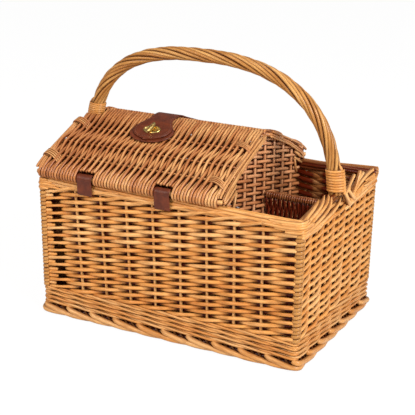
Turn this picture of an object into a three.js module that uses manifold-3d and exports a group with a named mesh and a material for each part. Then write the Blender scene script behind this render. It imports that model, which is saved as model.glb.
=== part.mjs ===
// A willow picnic basket with a bow handle, two arched lids and a bottle compartment.
// Millimetres, +Z up, +X towards the bottle compartment, -Y towards the front.
// The origin is on the floor, under the middle of the basket.

import * as THREE from 'three';
import { mergeVertices } from 'three/addons/utils/BufferGeometryUtils.js';
import Module from 'manifold-3d';

const wasm = await Module();
wasm.setup();

// Body
const RIM_LENGTH = 458;
const RIM_DEPTH = 310;
const BASE_LENGTH = 455;
const BASE_DEPTH = 304;
const RIM_HEIGHT = 235;
const WALL_THICKNESS = 16;
const GAP = 0.3;
const CUT_REACH = 40;

// Rods of the body
const FOOT_HEIGHT = 15;
const CORNER_CUT = 12;
const FOOT_BULGE = 1.5;
const WALE_TOP = 48;
const WALE_RODS = 4;
const WALE_BULGE = 1.2;
const BORDER_HEIGHT = 17;
const BORDER_RODS = 3;
const BORDER_SWELL = 12;
const FAN_RISE = 12;
const FAN_GAP = 14;
const WALL_ROWS = 17;
const STAKE_SPACING = 45.3;
const LONG_WALL_STAKES = 9;
const LONG_WALL_SHIFT = -15;
const END_WALL_STAKES = 5;
const STAKE_SETBACK = 5.5;
const ROW_SETBACK = 9;
const TURN_SETBACK = 2.5;
const STAKE_HALF_GAP = 7;

// Base, divider and partition
const BASE_TOP = 14;
const BASE_THICKNESS = 9;
const BAY_LENGTH = 120;
const DIVIDER_THICKNESS = 11;
const DIVIDER_RELIEF = 0.7;
const DIVIDER_ROWS = 16;
const DIVIDER_STAKES = 7;
const DIVIDER_STAKE_SPACING = 35;
const PARTITION_DROP = 20;
const PARTITION_THICKNESS = 8;
const PARTITION_ROWS = 10;
const RAIL_RADIUS = 5;

// Handle
const HANDLE_INSET = 13.5;
const HANDLE_SINK = 2;
const HANDLE_RISE = 190.5;
const HANDLE_SIDE_POWER = 2.48;
const HANDLE_TOP_POWER = 2.7;
const HANDLE_LEAN = 0.098;
const HANDLE_RADIUS = 11;
const HANDLE_RODS = 6;
const HANDLE_GROOVE = 0.16;
const HANDLE_TURNS = 2.6;
const HANDLE_STEPS = 34;
const LEG_RADIUS = 6;
const LEG_DEPTH = 60;
const BINDING_LENGTH = 34;
const LEFT_BINDING_LENGTH = 23;
const BINDING_WALL = 1.6;
const BINDING_TURNS = 5;
const BINDING_FIT = 1;
const BOUND_ROD_RADIUS = 3;
const BOUND_ROD_STANDS_OUT = 8;

// Lids
const LID_INSET = 4;
const HINGE_INSET = 1;
const HINGE_LIFT = 8;
const HINGE_STICK_RADIUS = 4.5;
const RIDGE_STICK_RADIUS = 4;
const RIDGE_Y = 7.1;
const LID_RISE = 66;
const LID_THICKNESS = 3.6;
const WRAP_THICKNESS = 2;
const WRAP_FIT = 0.6;
const HINGE_WRAP = [-170, 45];
const RIDGE_WRAP = [95, 245];
const LID_WAVE = 2;
const LID_FOOT = [3, 6];
const LID_SHOULDER = [8, 18];
const LID_CROWN = [88, 29];
const LID_WEAVERS = 22;
const LID_STICKS = 3;
const BOW_RADIUS = 3.5;
const TIE_DISTANCES = [125, 54];
const TIE_LENGTH = 30;
const TIE_WIDTH = 12;
const TIE_THICKNESS = 2;
const TIE_HOOK = 2.5;
const GABLE_STEPS = 9;
const GABLE_START = 0.12;
const HANDLE_NOTCH = [34, 17];

// Leather and brass
const LOOP_WIDTH = 27;
const LOOP_THICKNESS = 2;
const LOOP_X = [-137, 1];
const LOOP_NOTCH_DEPTH = 16;
const STRAP_X = -79;
const STRAP_HALF_WIDTH = 21;
const STRAP_END_HALF_WIDTH = 33;
const STRAP_REACH = 72;
const STRAP_THICKNESS = 2.5;
const STRAP_HINGE_Y = 14;
const STRAP_RISE = 4;
const PATCH_HALF_WIDTH = 38;
const PATCH_HALF_DEPTH = 25;
const PATCH_THICKNESS = 2;
const LOCK_Y = 48;
const LOCK_HALF_WIDTH = 15;
const LOCK_HALF_DEPTH = 8.5;
const LOCK_PROUD = 1;
const KNOB_LENGTH = 24;
const KNOB_WIDTH = 8;
const KNOB_HEIGHT = 6;
const KNOB_STEM_RADIUS = 3;
const RIVET_RADIUS = 4.5;
const RIVET_SPACING = 26;
const RIVET_SHANK = 2;
const RIVET_Y = 56;

// Colours of the finishes
const WILLOW = { color: 0xc98f4c, roughness: 0.6, metalness: 0 };
const LID_WILLOW = { color: 0xb9793a, roughness: 0.6, metalness: 0 };
const HANDLE_WILLOW = { color: 0xb57a3c, roughness: 0.5, metalness: 0 };
const LEATHER = { color: 0x4a1c12, roughness: 0.45, metalness: 0 };
const BRASS = { color: 0xc9a54a, roughness: 0.3, metalness: 1 };

// Places that follow from the sizes
const dividerX = RIM_LENGTH / 2 - WALL_THICKNESS - BAY_LENGTH;
const partitionTop = RIM_HEIGHT - PARTITION_DROP;
const handleHalfSpan = RIM_LENGTH / 2 - HANDLE_INSET;
const handleBase = RIM_HEIGHT - HANDLE_SINK;
const lidLeft = -RIM_LENGTH / 2 + LID_INSET;
const lidRight = dividerX + LID_INSET;
const hingeY = RIM_DEPTH / 2 - HINGE_INSET;
const hingeZ = RIM_HEIGHT + HINGE_LIFT;
const ridgeZ = hingeZ + LID_RISE;

const vec = (x, y, z) => new THREE.Vector3(x, y, z);
const lerp = THREE.MathUtils.lerp;

// Makes a closed geometry from points and triangles, with its faces pointing out
function closedGeometry(points, triangles) {
  const cross = new THREE.Vector3();
  let volume = 0;
  for (const [a, b, c] of triangles) {
    volume += points[a].dot(cross.crossVectors(points[b], points[c]));
  }
  const geometry = new THREE.BufferGeometry().setFromPoints(points);
  geometry.setIndex(triangles.flatMap(([a, b, c]) => (volume > 0 ? [a, b, c] : [a, c, b])));
  geometry.computeVertexNormals();
  return geometry;
}

// Joins two edges that run the same way, whatever their counts of points
function stitch(first, second, turned) {
  const triangles = [];
  let i = 0;
  let j = 0;
  while (i < first.length - 1 || j < second.length - 1) {
    const nextI = (i + 1) / (first.length - 1);
    const nextJ = (j + 1) / (second.length - 1);
    const useFirst = j === second.length - 1 || (i < first.length - 1 && nextI <= nextJ);
    const triangle = useFirst
      ? [first[i + 1], first[i], second[j]]
      : [first[i], second[j], second[j + 1]];
    triangles.push(turned ? triangle.reverse() : triangle);
    if (useFirst) i += 1;
    else j += 1;
  }
  return triangles;
}

// A panel between two faces, each a grid of points, rows first, both running the same way
function panel(front, back) {
  const points = [...front.flat(), ...back.flat()];
  const triangles = [];
  const indexGrid = (grid, start) => grid.map((row, r) => row.map((_, c) => start + r * row.length + c));
  const near = indexGrid(front, 0);
  const far = indexGrid(back, front.flat().length);
  const cover = (grid, turned) => {
    for (let r = 0; r < grid.length - 1; r += 1) {
      for (let c = 0; c < grid[r].length - 1; c += 1) {
        const corners = [grid[r][c], grid[r][c + 1], grid[r + 1][c + 1], grid[r + 1][c]];
        if (turned) corners.reverse();
        triangles.push([corners[0], corners[1], corners[2]], [corners[0], corners[2], corners[3]]);
      }
    }
  };
  cover(near, false);
  cover(far, true);
  const column = (grid, c) => grid.map((row) => row.at(c));
  triangles.push(...stitch(near[0], far[0], false));
  triangles.push(...stitch(near.at(-1), far.at(-1), true));
  triangles.push(...stitch(column(near, 0), column(far, 0), true));
  triangles.push(...stitch(column(near, -1), column(far, -1), false));
  return closedGeometry(points, triangles);
}

// A body through rings of points; it closes on itself or gets an end face on each end
function loft(rings, ringed = false) {
  const points = rings.flat();
  const size = rings[0].length;
  const triangles = [];
  const spans = ringed ? rings.length : rings.length - 1;
  for (let i = 0; i < spans; i += 1) {
    const here = i * size;
    const next = ((i + 1) % rings.length) * size;
    for (let j = 0; j < size; j += 1) {
      const k = (j + 1) % size;
      triangles.push([here + j, here + k, next + k], [here + j, next + k, next + j]);
    }
  }
  if (!ringed) {
    for (const [start, turned] of [[0, true], [(rings.length - 1) * size, false]]) {
      const middle = points.length;
      const sum = new THREE.Vector3();
      for (let j = 0; j < size; j += 1) sum.add(points[start + j]);
      points.push(sum.divideScalar(size));
      for (let j = 0; j < size; j += 1) {
        const edge = [start + j, start + ((j + 1) % size)];
        if (turned) edge.reverse();
        triangles.push([middle, ...edge]);
      }
    }
  }
  return closedGeometry(points, triangles);
}

// Solids for joining and cutting
function toSolid(geometry) {
  const bare = geometry.clone();
  bare.deleteAttribute('normal');
  bare.deleteAttribute('uv');
  const merged = mergeVertices(bare, 1e-4);
  const vertProperties = new Float32Array(merged.attributes.position.array);
  const triVerts = new Uint32Array(merged.index.array);
  return new wasm.Manifold(new wasm.Mesh({ numProp: 3, vertProperties, triVerts }));
}

function toGeometry(solid) {
  const { vertProperties, triVerts } = solid.getMesh();
  const geometry = new THREE.BufferGeometry();
  geometry.setAttribute('position', new THREE.BufferAttribute(new Float32Array(vertProperties), 3));
  geometry.setIndex(new THREE.BufferAttribute(new Uint32Array(triVerts), 1));
  geometry.computeVertexNormals();
  return geometry;
}

function cut(geometry, ...tools) {
  let solid = toSolid(geometry);
  for (const tool of tools) solid = solid.subtract(toSolid(tool));
  return toGeometry(solid);
}

const clip = (geometry, tool) => toGeometry(toSolid(geometry).intersect(toSolid(tool)));

const join = (first, second) => toGeometry(toSolid(first).add(toSolid(second)));

// A box between two corners
function block(low, high) {
  const geometry = new THREE.BoxGeometry(high.x - low.x, high.y - low.y, high.z - low.z);
  return geometry.translate((low.x + high.x) / 2, (low.y + high.y) / 2, (low.z + high.z) / 2);
}

// A round rod from one point to another
function rod(from, to, radius, sides = 10) {
  const length = from.distanceTo(to);
  const geometry = new THREE.CylinderGeometry(radius, radius, length, sides);
  const direction = to.clone().sub(from).normalize();
  geometry.applyQuaternion(new THREE.Quaternion().setFromUnitVectors(vec(0, 1, 0), direction));
  return geometry.translate((from.x + to.x) / 2, (from.y + to.y) / 2, (from.z + to.z) / 2);
}

function mesh(name, geometry, finish) {
  const piece = new THREE.Mesh(geometry, new THREE.MeshStandardMaterial({ ...finish, flatShading: true }));
  piece.name = name;
  return piece;
}

// Half of the body's outside length and depth at a height: the walls lean out a little
const halfLength = (z) => lerp(BASE_LENGTH, RIM_LENGTH, z / RIM_HEIGHT) / 2;
const halfDepth = (z) => lerp(BASE_DEPTH, RIM_DEPTH, z / RIM_HEIGHT) / 2;
const borderBottom = RIM_HEIGHT - BORDER_HEIGHT;
const postRadius = WALL_THICKNESS / 2;
const longWallEnd = RIM_LENGTH / 2 - WALL_THICKNESS - GAP;
const endWallEnd = RIM_DEPTH / 2 - WALL_THICKNESS - GAP;

// Places on a wall: s runs along it, z up it, and depth goes in from its outside
const longWallPoint = (side) => (s, z, depth) =>
  vec(
    s + ((halfLength(z) - RIM_LENGTH / 2) * s) / longWallEnd,
    side * (halfDepth(z) - depth),
    z,
  );
const endWallPoint = (side) => (s, z, depth) =>
  vec(
    side * (halfLength(z) - depth),
    s + ((halfDepth(z) - RIM_DEPTH / 2) * s) / endWallEnd,
    z,
  );

// Randing: each row passes before one stake and behind the next, and turns back at its ends
function wovenPanel({ point, end, stakes, rows, bottom, top, thickness }) {
  const columns = [{ s: -end, kind: 'turn' }];
  for (const [k, s] of stakes.entries()) {
    columns.push({ s: s - STAKE_HALF_GAP, kind: 'beside', k });
    columns.push({ s, kind: 'stake', k });
    columns.push({ s: s + STAKE_HALF_GAP, kind: 'beside', k });
  }
  columns.push({ s: end, kind: 'turn' });
  const depthAt = ({ kind, k }, row) => {
    if (kind === 'turn') return row % 2 ? TURN_SETBACK : 0;
    const inFront = (row + k) % 2 === 0;
    if (kind === 'stake') return inFront ? 0 : STAKE_SETBACK;
    return inFront ? 1 : ROW_SETBACK;
  };
  const front = [];
  for (let row = 0; row <= rows; row += 1) {
    front.push(columns.map((column) => {
      const z = lerp(bottom, top(column.s), row / rows);
      return point(column.s, z, depthAt(column, row));
    }));
  }
  const inner = [-end, ...stakes.flatMap((s) => [s - STAKE_SPACING / 4, s, s + STAKE_SPACING / 4]), end]
    .filter((s, i, all) => i === 0 || s > all[i - 1])
    .filter((s) => Math.abs(s) <= end);
  const isStake = (s) => stakes.includes(s);
  const back = [0, 1].map((share) =>
    inner.map((s) => point(s, lerp(bottom, top(s), share), isStake(s) ? thickness : thickness - 2)));
  return panel(front, back);
}

const evenly = (count, spacing) =>
  Array.from({ length: count }, (_, i) => (i - (count - 1) / 2) * spacing);

// The arch of a lid from its hinge stick to its ridge stick, as distance from the ridge plane and height
const hingeWrap = HINGE_STICK_RADIUS + WRAP_FIT + WRAP_THICKNESS / 2;
const ridgeWrap = RIDGE_STICK_RADIUS + WRAP_FIT + WRAP_THICKNESS / 2;
const arch = new THREE.CubicBezierCurve(
  new THREE.Vector2(hingeY + LID_FOOT[0], hingeZ + LID_FOOT[1]),
  new THREE.Vector2(hingeY + LID_FOOT[0] - LID_SHOULDER[0], hingeZ + LID_SHOULDER[1]),
  new THREE.Vector2(RIDGE_Y + LID_CROWN[0], ridgeZ - LID_CROWN[1]),
  new THREE.Vector2(RIDGE_Y, ridgeZ + ridgeWrap),
);

// The middle line of the woven sheet: round the hinge stick, over the arch, round the ridge stick
function lidLine() {
  const line = [];
  const around = (y, z, radius, from, to, steps) => {
    for (let i = 0; i <= steps; i += 1) {
      const angle = THREE.MathUtils.degToRad(lerp(from, to, i / steps));
      const at = new THREE.Vector2(y + radius * Math.cos(angle), z + radius * Math.sin(angle));
      line.push({ at, half: WRAP_THICKNESS / 2, onArch: false });
    }
  };
  around(hingeY, hingeZ, hingeWrap, ...HINGE_WRAP, 5);
  const archSteps = 2 * LID_STICKS + 2;
  for (let i = 1; i < archSteps; i += 1) {
    line.push({ at: arch.getPoint(i / archSteps), half: LID_THICKNESS / 2, onArch: true });
  }
  around(RIDGE_Y, ridgeZ, ridgeWrap, ...RIDGE_WRAP, 3);
  return line;
}

// The same line moved square to itself by a share of the sheet's half thickness
function offsetLine(line, share) {
  return line.map(({ at, half }, i) => {
    const before = line[Math.max(i - 1, 0)].at;
    const after = line[Math.min(i + 1, line.length - 1)].at;
    const along = after.clone().sub(before).normalize();
    return new THREE.Vector2(at.x + along.y * half * share, at.y - along.x * half * share);
  });
}

// A place off the arch, square to it: above the lid, or below it where the height is negative
function offArch(t, height) {
  const p = arch.getPoint(t);
  const along = arch.getTangent(t);
  return new THREE.Vector2(p.x + along.y * height, p.y - along.x * height);
}

// The line under the lids that the gables follow, flat under the ridge sticks
function gableTop() {
  const edge = [];
  const flat = RIDGE_Y + ridgeWrap + WRAP_THICKNESS / 2 + GAP;
  for (let i = 0; i <= GABLE_STEPS; i += 1) {
    const p = offArch(lerp(GABLE_START, 1, i / GABLE_STEPS), -BOW_RADIUS - GAP);
    if (p.x > flat) edge.push(p);
  }
  return edge;
}

// The outline of an end panel that rises to the ridge, as an extruded plate to clip with
function gableOutline(xLow, xHigh, bottom, halfBottom, halfRim) {
  const slope = gableTop().filter((p) => p.x < hingeY - hingeWrap - WRAP_THICKNESS);
  const right = [
    new THREE.Vector2(halfBottom, bottom),
    new THREE.Vector2(halfRim, RIM_HEIGHT + GAP),
    ...slope,
  ];
  const left = right.map((p) => new THREE.Vector2(-p.x, p.y)).reverse();
  const shape = new THREE.Shape([...right, ...left]);
  const geometry = new THREE.ExtrudeGeometry(shape, { depth: xHigh - xLow, bevelEnabled: false });
  geometry.applyMatrix4(new THREE.Matrix4().makeBasis(vec(0, 1, 0), vec(0, 0, 1), vec(1, 0, 0)));
  return geometry.translate(xLow, 0, 0);
}

// The centre line of the bow handle, from the right rim over the top to the left gable
const lidTop = ridgeZ + ridgeWrap;
const handleLeftFoot = gableTop().at(-1).y + GAP;
function handlePoint(angle) {
  const across = Math.cos(angle);
  const x = handleHalfSpan * Math.sign(across) * Math.abs(across) ** (2 / HANDLE_SIDE_POWER);
  const rise = HANDLE_RISE * Math.abs(Math.sin(angle)) ** (2 / HANDLE_TOP_POWER);
  return vec(x - HANDLE_LEAN * rise, 0, handleBase + rise);
}
const angleAtHeight = (z) => Math.asin(((z - handleBase) / HANDLE_RISE) ** (HANDLE_TOP_POWER / 2));
const rightFoot = vec(handlePoint(0).x, 0, RIM_HEIGHT + 2 + GAP);
const leftFootAngle = Math.PI - angleAtHeight(handleLeftFoot);
const leftFoot = handlePoint(leftFootAngle);
const wallSlope = (RIM_LENGTH - BASE_LENGTH) / 2 / RIM_HEIGHT;
const legEnd = (foot) => vec(foot.x - Math.sign(foot.x) * LEG_DEPTH * wallSlope, 0, foot.z - LEG_DEPTH);

function handleGeometry() {
  const stations = [];
  stations.push({ at: legEnd(rightFoot), radius: LEG_RADIUS, groove: 0 });
  stations.push({ at: rightFoot, radius: LEG_RADIUS, groove: 0 });
  for (let i = 1; i <= HANDLE_STEPS; i += 1) {
    const share = i / HANDLE_STEPS;
    const angle = share * leftFootAngle;
    const at = i === HANDLE_STEPS ? leftFoot.clone().add(vec(0, 0, 3)) : handlePoint(angle);
    if (at.z > rightFoot.z + 3) stations.push({ at, radius: HANDLE_RADIUS, groove: HANDLE_GROOVE });
  }
  stations.push({ at: leftFoot, radius: LEG_RADIUS, groove: 0 });
  stations.push({ at: legEnd(leftFoot), radius: LEG_RADIUS, groove: 0 });
  let travelled = 0;
  const total = stations.reduce((sum, s, i) => sum + (i ? s.at.distanceTo(stations[i - 1].at) : 0), 0);
  const sides = 2 * HANDLE_RODS;
  const rings = stations.map(({ at, radius, groove }, i) => {
    if (i) travelled += at.distanceTo(stations[i - 1].at);
    const before = stations[Math.max(i - 1, 0)].at;
    const after = stations[Math.min(i + 1, stations.length - 1)].at;
    const along = after.clone().sub(before).normalize();
    const across = vec(along.z, 0, -along.x);
    const twist = (2 * Math.PI * HANDLE_TURNS * travelled) / total;
    return Array.from({ length: sides }, (_, j) => {
      const angle = twist + (2 * Math.PI * j) / sides;
      const reach = j % 2 ? radius * (1 - groove) : radius;
      return at.clone()
        .addScaledVector(across, reach * Math.cos(angle))
        .add(vec(0, reach * Math.sin(angle), 0));
    });
  });
  return loft(rings);
}

// The channel in an end wall that a handle leg is pushed into
const legChannel = (foot) =>
  rod(legEnd(foot).sub(vec(0, 0, GAP)), foot.clone().add(vec(0, 0, LEG_DEPTH / 2)), LEG_RADIUS + 2 * GAP, 16);

// A ring of split willow round the handle and the rod end beside it
function bindingRing(radiusGap, handleRadius, rodOffset) {
  const count = 12;
  return Array.from({ length: count }, (_, i) => {
    const angle = (2 * Math.PI * (i + 0.5)) / count;
    const outward = Math.cos(angle) > 0.5;
    const centre = outward ? rodOffset : 0;
    const radius = (outward ? BOUND_ROD_RADIUS : handleRadius) + radiusGap;
    return new THREE.Vector2(centre + radius * Math.cos(angle), radius * Math.sin(angle));
  });
}

function bindingGeometry(length) {
  const rodOffset = HANDLE_RADIUS + BOUND_ROD_RADIUS + GAP;
  const rings = [];
  const lift = (ring, z) => ring.map((p) => vec(p.x, p.y, z));
  for (let i = 0; i <= 2 * BINDING_TURNS; i += 1) {
    const swell = BINDING_FIT + (i % 2 ? BINDING_WALL : BINDING_WALL / 2);
    rings.push(lift(bindingRing(swell, HANDLE_RADIUS, rodOffset), (length * i) / (2 * BINDING_TURNS)));
  }
  rings.push(lift(bindingRing(BINDING_FIT, HANDLE_RADIUS, rodOffset), length));
  rings.push(lift(bindingRing(BINDING_FIT, HANDLE_RADIUS, rodOffset), 0));
  return loft(rings, true);
}

// A run of border rods laid side by side, from one station to the next
function rodBundle(stations) {
  const rings = stations.map(({ place, low, high, inner, outer }) => {
    const ring = [];
    const rodHeight = (high - low) / BORDER_RODS;
    for (let i = 0; i < BORDER_RODS; i += 1) {
      ring.push(place(outer - 1.5, low + rodHeight * i + 0.4));
      ring.push(place(outer, low + rodHeight * (i + 0.5)));
    }
    ring.push(place(outer - 2, high));
    const width = outer - inner;
    ring.push(place(outer - width / 2 + 1, high));
    ring.push(place(outer - width / 2, high - 1.5));
    ring.push(place(outer - width / 2 - 1, high));
    ring.push(place(inner + 1, high - 1));
    ring.push(place(inner, lerp(low, high, 0.5)));
    ring.push(place(inner + 1, low));
    return ring;
  });
  return loft(rings);
}

// A closed band that goes round the body: rings of section points at places round the rim
function bandRound(section, stepsLong, stepsEnd, reach) {
  const rings = [];
  const place = (x, y, nx, ny, i) => {
    rings.push(section(i).map(({ out, z }) => {
      const scale = reach(z);
      const outX = Math.sign(x) * scale.x * Math.abs(nx) + nx * out;
      const outY = Math.sign(y) * scale.y * Math.abs(ny) + ny * out;
      return vec(x + outX, y + outY, z);
    }));
  };
  let index = 0;
  const straight = (from, to, nx, ny, steps) => {
    for (let i = 0; i <= steps; i += 1) {
      const share = i / steps;
      place(lerp(from.x, to.x, share), lerp(from.y, to.y, share), nx, ny, index);
      index += 1;
    }
  };
  const hx = BASE_LENGTH / 2;
  const hy = BASE_DEPTH / 2;
  straight(vec(-hx + CORNER_CUT, -hy, 0), vec(hx - CORNER_CUT, -hy, 0), 0, -1, stepsLong);
  straight(vec(hx, -hy + CORNER_CUT, 0), vec(hx, hy - CORNER_CUT, 0), 1, 0, stepsEnd);
  straight(vec(hx - CORNER_CUT, hy, 0), vec(-hx + CORNER_CUT, hy, 0), 0, 1, stepsLong);
  straight(vec(-hx, hy - CORNER_CUT, 0), vec(-hx, -hy + CORNER_CUT, 0), -1, 0, stepsEnd);
  return loft(rings, true);
}

const lean = (z) => ({ x: halfLength(z) - BASE_LENGTH / 2, y: halfDepth(z) - BASE_DEPTH / 2 });

// Foot border: strokes that slant down round the bottom edge, flat underneath
function footGeometry() {
  const section = (i) => {
    const stroke = i % 2 ? FOOT_BULGE : 0;
    const nextStroke = i % 2 ? 0 : FOOT_BULGE;
    return [
      { out: -WALL_THICKNESS, z: 0 },
      { out: -2, z: 0 },
      { out: stroke, z: FOOT_HEIGHT * 0.3 },
      { out: nextStroke, z: FOOT_HEIGHT * 0.75 },
      { out: -1, z: FOOT_HEIGHT },
      { out: -WALL_THICKNESS, z: FOOT_HEIGHT },
    ];
  };
  return bandRound(section, 14, 10, lean);
}

// Bottom wale: long strokes that pass before two stakes and behind one
function waleGeometry() {
  const low = FOOT_HEIGHT + GAP;
  const rodHeight = (WALE_TOP - low) / WALE_RODS;
  const section = (i) => {
    const ring = [{ out: -WALL_THICKNESS, z: low }, { out: -2, z: low }];
    for (let row = 0; row < WALE_RODS; row += 1) {
      const behind = (i + row) % 3 === 0;
      ring.push({ out: behind ? -3 : WALE_BULGE, z: low + rodHeight * (row + 0.5) });
      if (row < WALE_RODS - 1) ring.push({ out: -2, z: low + rodHeight * (row + 1) });
    }
    ring.push({ out: -2, z: WALE_TOP });
    ring.push({ out: -WALL_THICKNESS, z: WALE_TOP });
    return ring;
  };
  return bandRound(section, 8, 5, lean);
}

// The woven floor, inside the foot border
function baseGeometry() {
  const hx = BASE_LENGTH / 2 - WALL_THICKNESS - GAP;
  const hy = BASE_DEPTH / 2 - WALL_THICKNESS - GAP;
  const columns = 10;
  const rows = 6;
  const face = (z, wave) =>
    Array.from({ length: rows + 1 }, (_, r) =>
      Array.from({ length: columns + 1 }, (__, c) => {
        const edge = r === 0 || c === 0 || r === rows || c === columns;
        const lift = edge ? 0 : wave * ((r + c) % 2 ? 1 : 0);
        return vec(lerp(-hx, hx, c / columns), lerp(-hy, hy, r / rows), z - lift);
      }));
  const top = face(BASE_TOP, 2);
  const bottom = face(BASE_TOP - BASE_THICKNESS, -1.5);
  return panel(top, bottom);
}

// One long wall, with a slot under the border for each leather loop
function longWallGeometry(side) {
  const wall = wovenPanel({
    point: longWallPoint(side),
    end: longWallEnd,
    stakes: evenly(LONG_WALL_STAKES, STAKE_SPACING).map((s) => s - side * LONG_WALL_SHIFT),
    rows: WALL_ROWS,
    bottom: WALE_TOP + GAP,
    top: () => borderBottom - GAP,
    thickness: WALL_THICKNESS,
  });
  const slotBottom = borderBottom - LOOP_THICKNESS - 3 * GAP;
  const reach = RIM_DEPTH / 2 + WALL_THICKNESS;
  const slots = LOOP_X.map((x) =>
    block(
      vec(x - LOOP_WIDTH / 2 - GAP, Math.min(0, side * reach), slotBottom),
      vec(x + LOOP_WIDTH / 2 + GAP, Math.max(0, side * reach), RIM_HEIGHT),
    ));
  return cut(wall, ...slots);
}

// The right wall dips under the border's rods where they gather at the handle
const borderDip = (s) => BORDER_SWELL * Math.max(0, 1 - Math.abs(s) / endWallEnd);
function rightWallGeometry() {
  const wall = wovenPanel({
    point: endWallPoint(1),
    end: endWallEnd,
    stakes: evenly(END_WALL_STAKES, STAKE_SPACING),
    rows: WALL_ROWS,
    bottom: WALE_TOP + GAP,
    top: (s) => borderBottom - GAP - borderDip(s),
    thickness: WALL_THICKNESS,
  });
  return cut(wall, legChannel(rightFoot));
}

// The left wall goes on up as a gable under the lids
function leftWallGeometry() {
  const bottom = WALE_TOP + GAP;
  const rowHeight = (borderBottom - GAP - bottom) / WALL_ROWS;
  const rows = Math.ceil((lidTop - bottom) / rowHeight);
  const wall = wovenPanel({
    point: endWallPoint(-1),
    end: endWallEnd,
    stakes: evenly(END_WALL_STAKES, STAKE_SPACING),
    rows,
    bottom,
    top: () => bottom + rows * rowHeight,
    thickness: WALL_THICKNESS,
  });
  const low = -RIM_LENGTH / 2 - WALL_THICKNESS;
  const high = -RIM_LENGTH / 2 + 2 * WALL_THICKNESS;
  const outline = gableOutline(low, high, bottom - 1, endWallEnd, endWallEnd);
  return cut(clip(wall, outline), legChannel(leftFoot));
}

// The divider stands on the base between the long walls and carries the lids' right end
function dividerGeometry() {
  const bottom = BASE_TOP + GAP;
  const half = DIVIDER_THICKNESS / 2;
  const inside = (z) => halfDepth(z) - WALL_THICKNESS - GAP;
  const stakes = evenly(DIVIDER_STAKES, DIVIDER_STAKE_SPACING);
  const end = inside(RIM_HEIGHT) - GAP;
  const wall = wovenPanel({
    point: (s, z, depth) => vec(dividerX + half - depth * DIVIDER_RELIEF, s, z),
    end,
    stakes,
    rows: DIVIDER_ROWS,
    bottom,
    top: () => lidTop,
    thickness: DIVIDER_THICKNESS / DIVIDER_RELIEF,
  });
  const outline = gableOutline(dividerX - 2 * half, dividerX + 2 * half, bottom - 1, inside(0), end);
  return clip(wall, outline);
}

const partitionLow = dividerX + DIVIDER_THICKNESS / 2 + GAP;
const partitionEnd = (z) => rightFoot.x - (rightFoot.z - z) * wallSlope - LEG_RADIUS - GAP;

// The partition between the two bottle bays
function partitionGeometry() {
  const bottom = BASE_TOP + GAP;
  const top = partitionTop - RAIL_RADIUS - GAP;
  const columns = 6;
  const face = (side) =>
    Array.from({ length: PARTITION_ROWS + 1 }, (_, r) =>
      Array.from({ length: columns + 1 }, (__, c) => {
        const z = lerp(bottom, top, r / PARTITION_ROWS);
        const bulge = (r + c) % 2 ? 0 : 1.5;
        return vec(lerp(partitionLow, partitionEnd(z), c / columns), side * (PARTITION_THICKNESS / 2 - bulge), z);
      }));
  return panel(face(1), face(-1));
}

const railGeometry = () =>
  rod(vec(partitionLow, 0, partitionTop), vec(partitionEnd(partitionTop), 0, partitionTop), RAIL_RADIUS, 12);

function postGeometry(sideX, sideY) {
  const at = (z) => vec(sideX * (halfLength(z) - postRadius), sideY * (halfDepth(z) - postRadius), z);
  return rod(at(WALE_TOP + GAP), at(borderBottom - GAP), postRadius, 14);
}

function longBorderGeometry(side) {
  const stations = [];
  const steps = 10;
  for (let i = 0; i <= steps; i += 1) {
    const x = lerp(-RIM_LENGTH / 2 - 0.5, RIM_LENGTH / 2 + 0.5, i / steps);
    stations.push({
      place: (out, z) => vec(x, side * out, z),
      low: borderBottom,
      high: RIM_HEIGHT,
      inner: RIM_DEPTH / 2 - WALL_THICKNESS,
      outer: RIM_DEPTH / 2 + (i % 2 ? 1.5 : 0.5),
    });
  }
  return rodBundle(stations);
}

// On the front half the right border's rods rise like a fan to the handle's foot
const fanRise = (y) => {
  if (y > -FAN_GAP) return 1;
  return lerp(1, FAN_RISE, (endWallEnd + y) / (endWallEnd - FAN_GAP));
};
function rightBorderGeometry() {
  const steps = 4;
  const places = [];
  for (let i = 0; i <= steps; i += 1) places.push(lerp(-endWallEnd, -FAN_GAP, i / steps));
  for (let i = 0; i <= steps; i += 1) places.push(lerp(-FAN_GAP + 1, endWallEnd, i / steps));
  const stations = places.map((y, i) => ({
    place: (out, z) => vec(out, y, z),
    low: borderBottom - borderDip(y),
    high: RIM_HEIGHT + fanRise(y),
    inner: RIM_LENGTH / 2 - WALL_THICKNESS,
    outer: RIM_LENGTH / 2 + (i % 2 ? 1.5 : 0.5),
  }));
  return cut(rodBundle(stations), legChannel(rightFoot));
}

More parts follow.
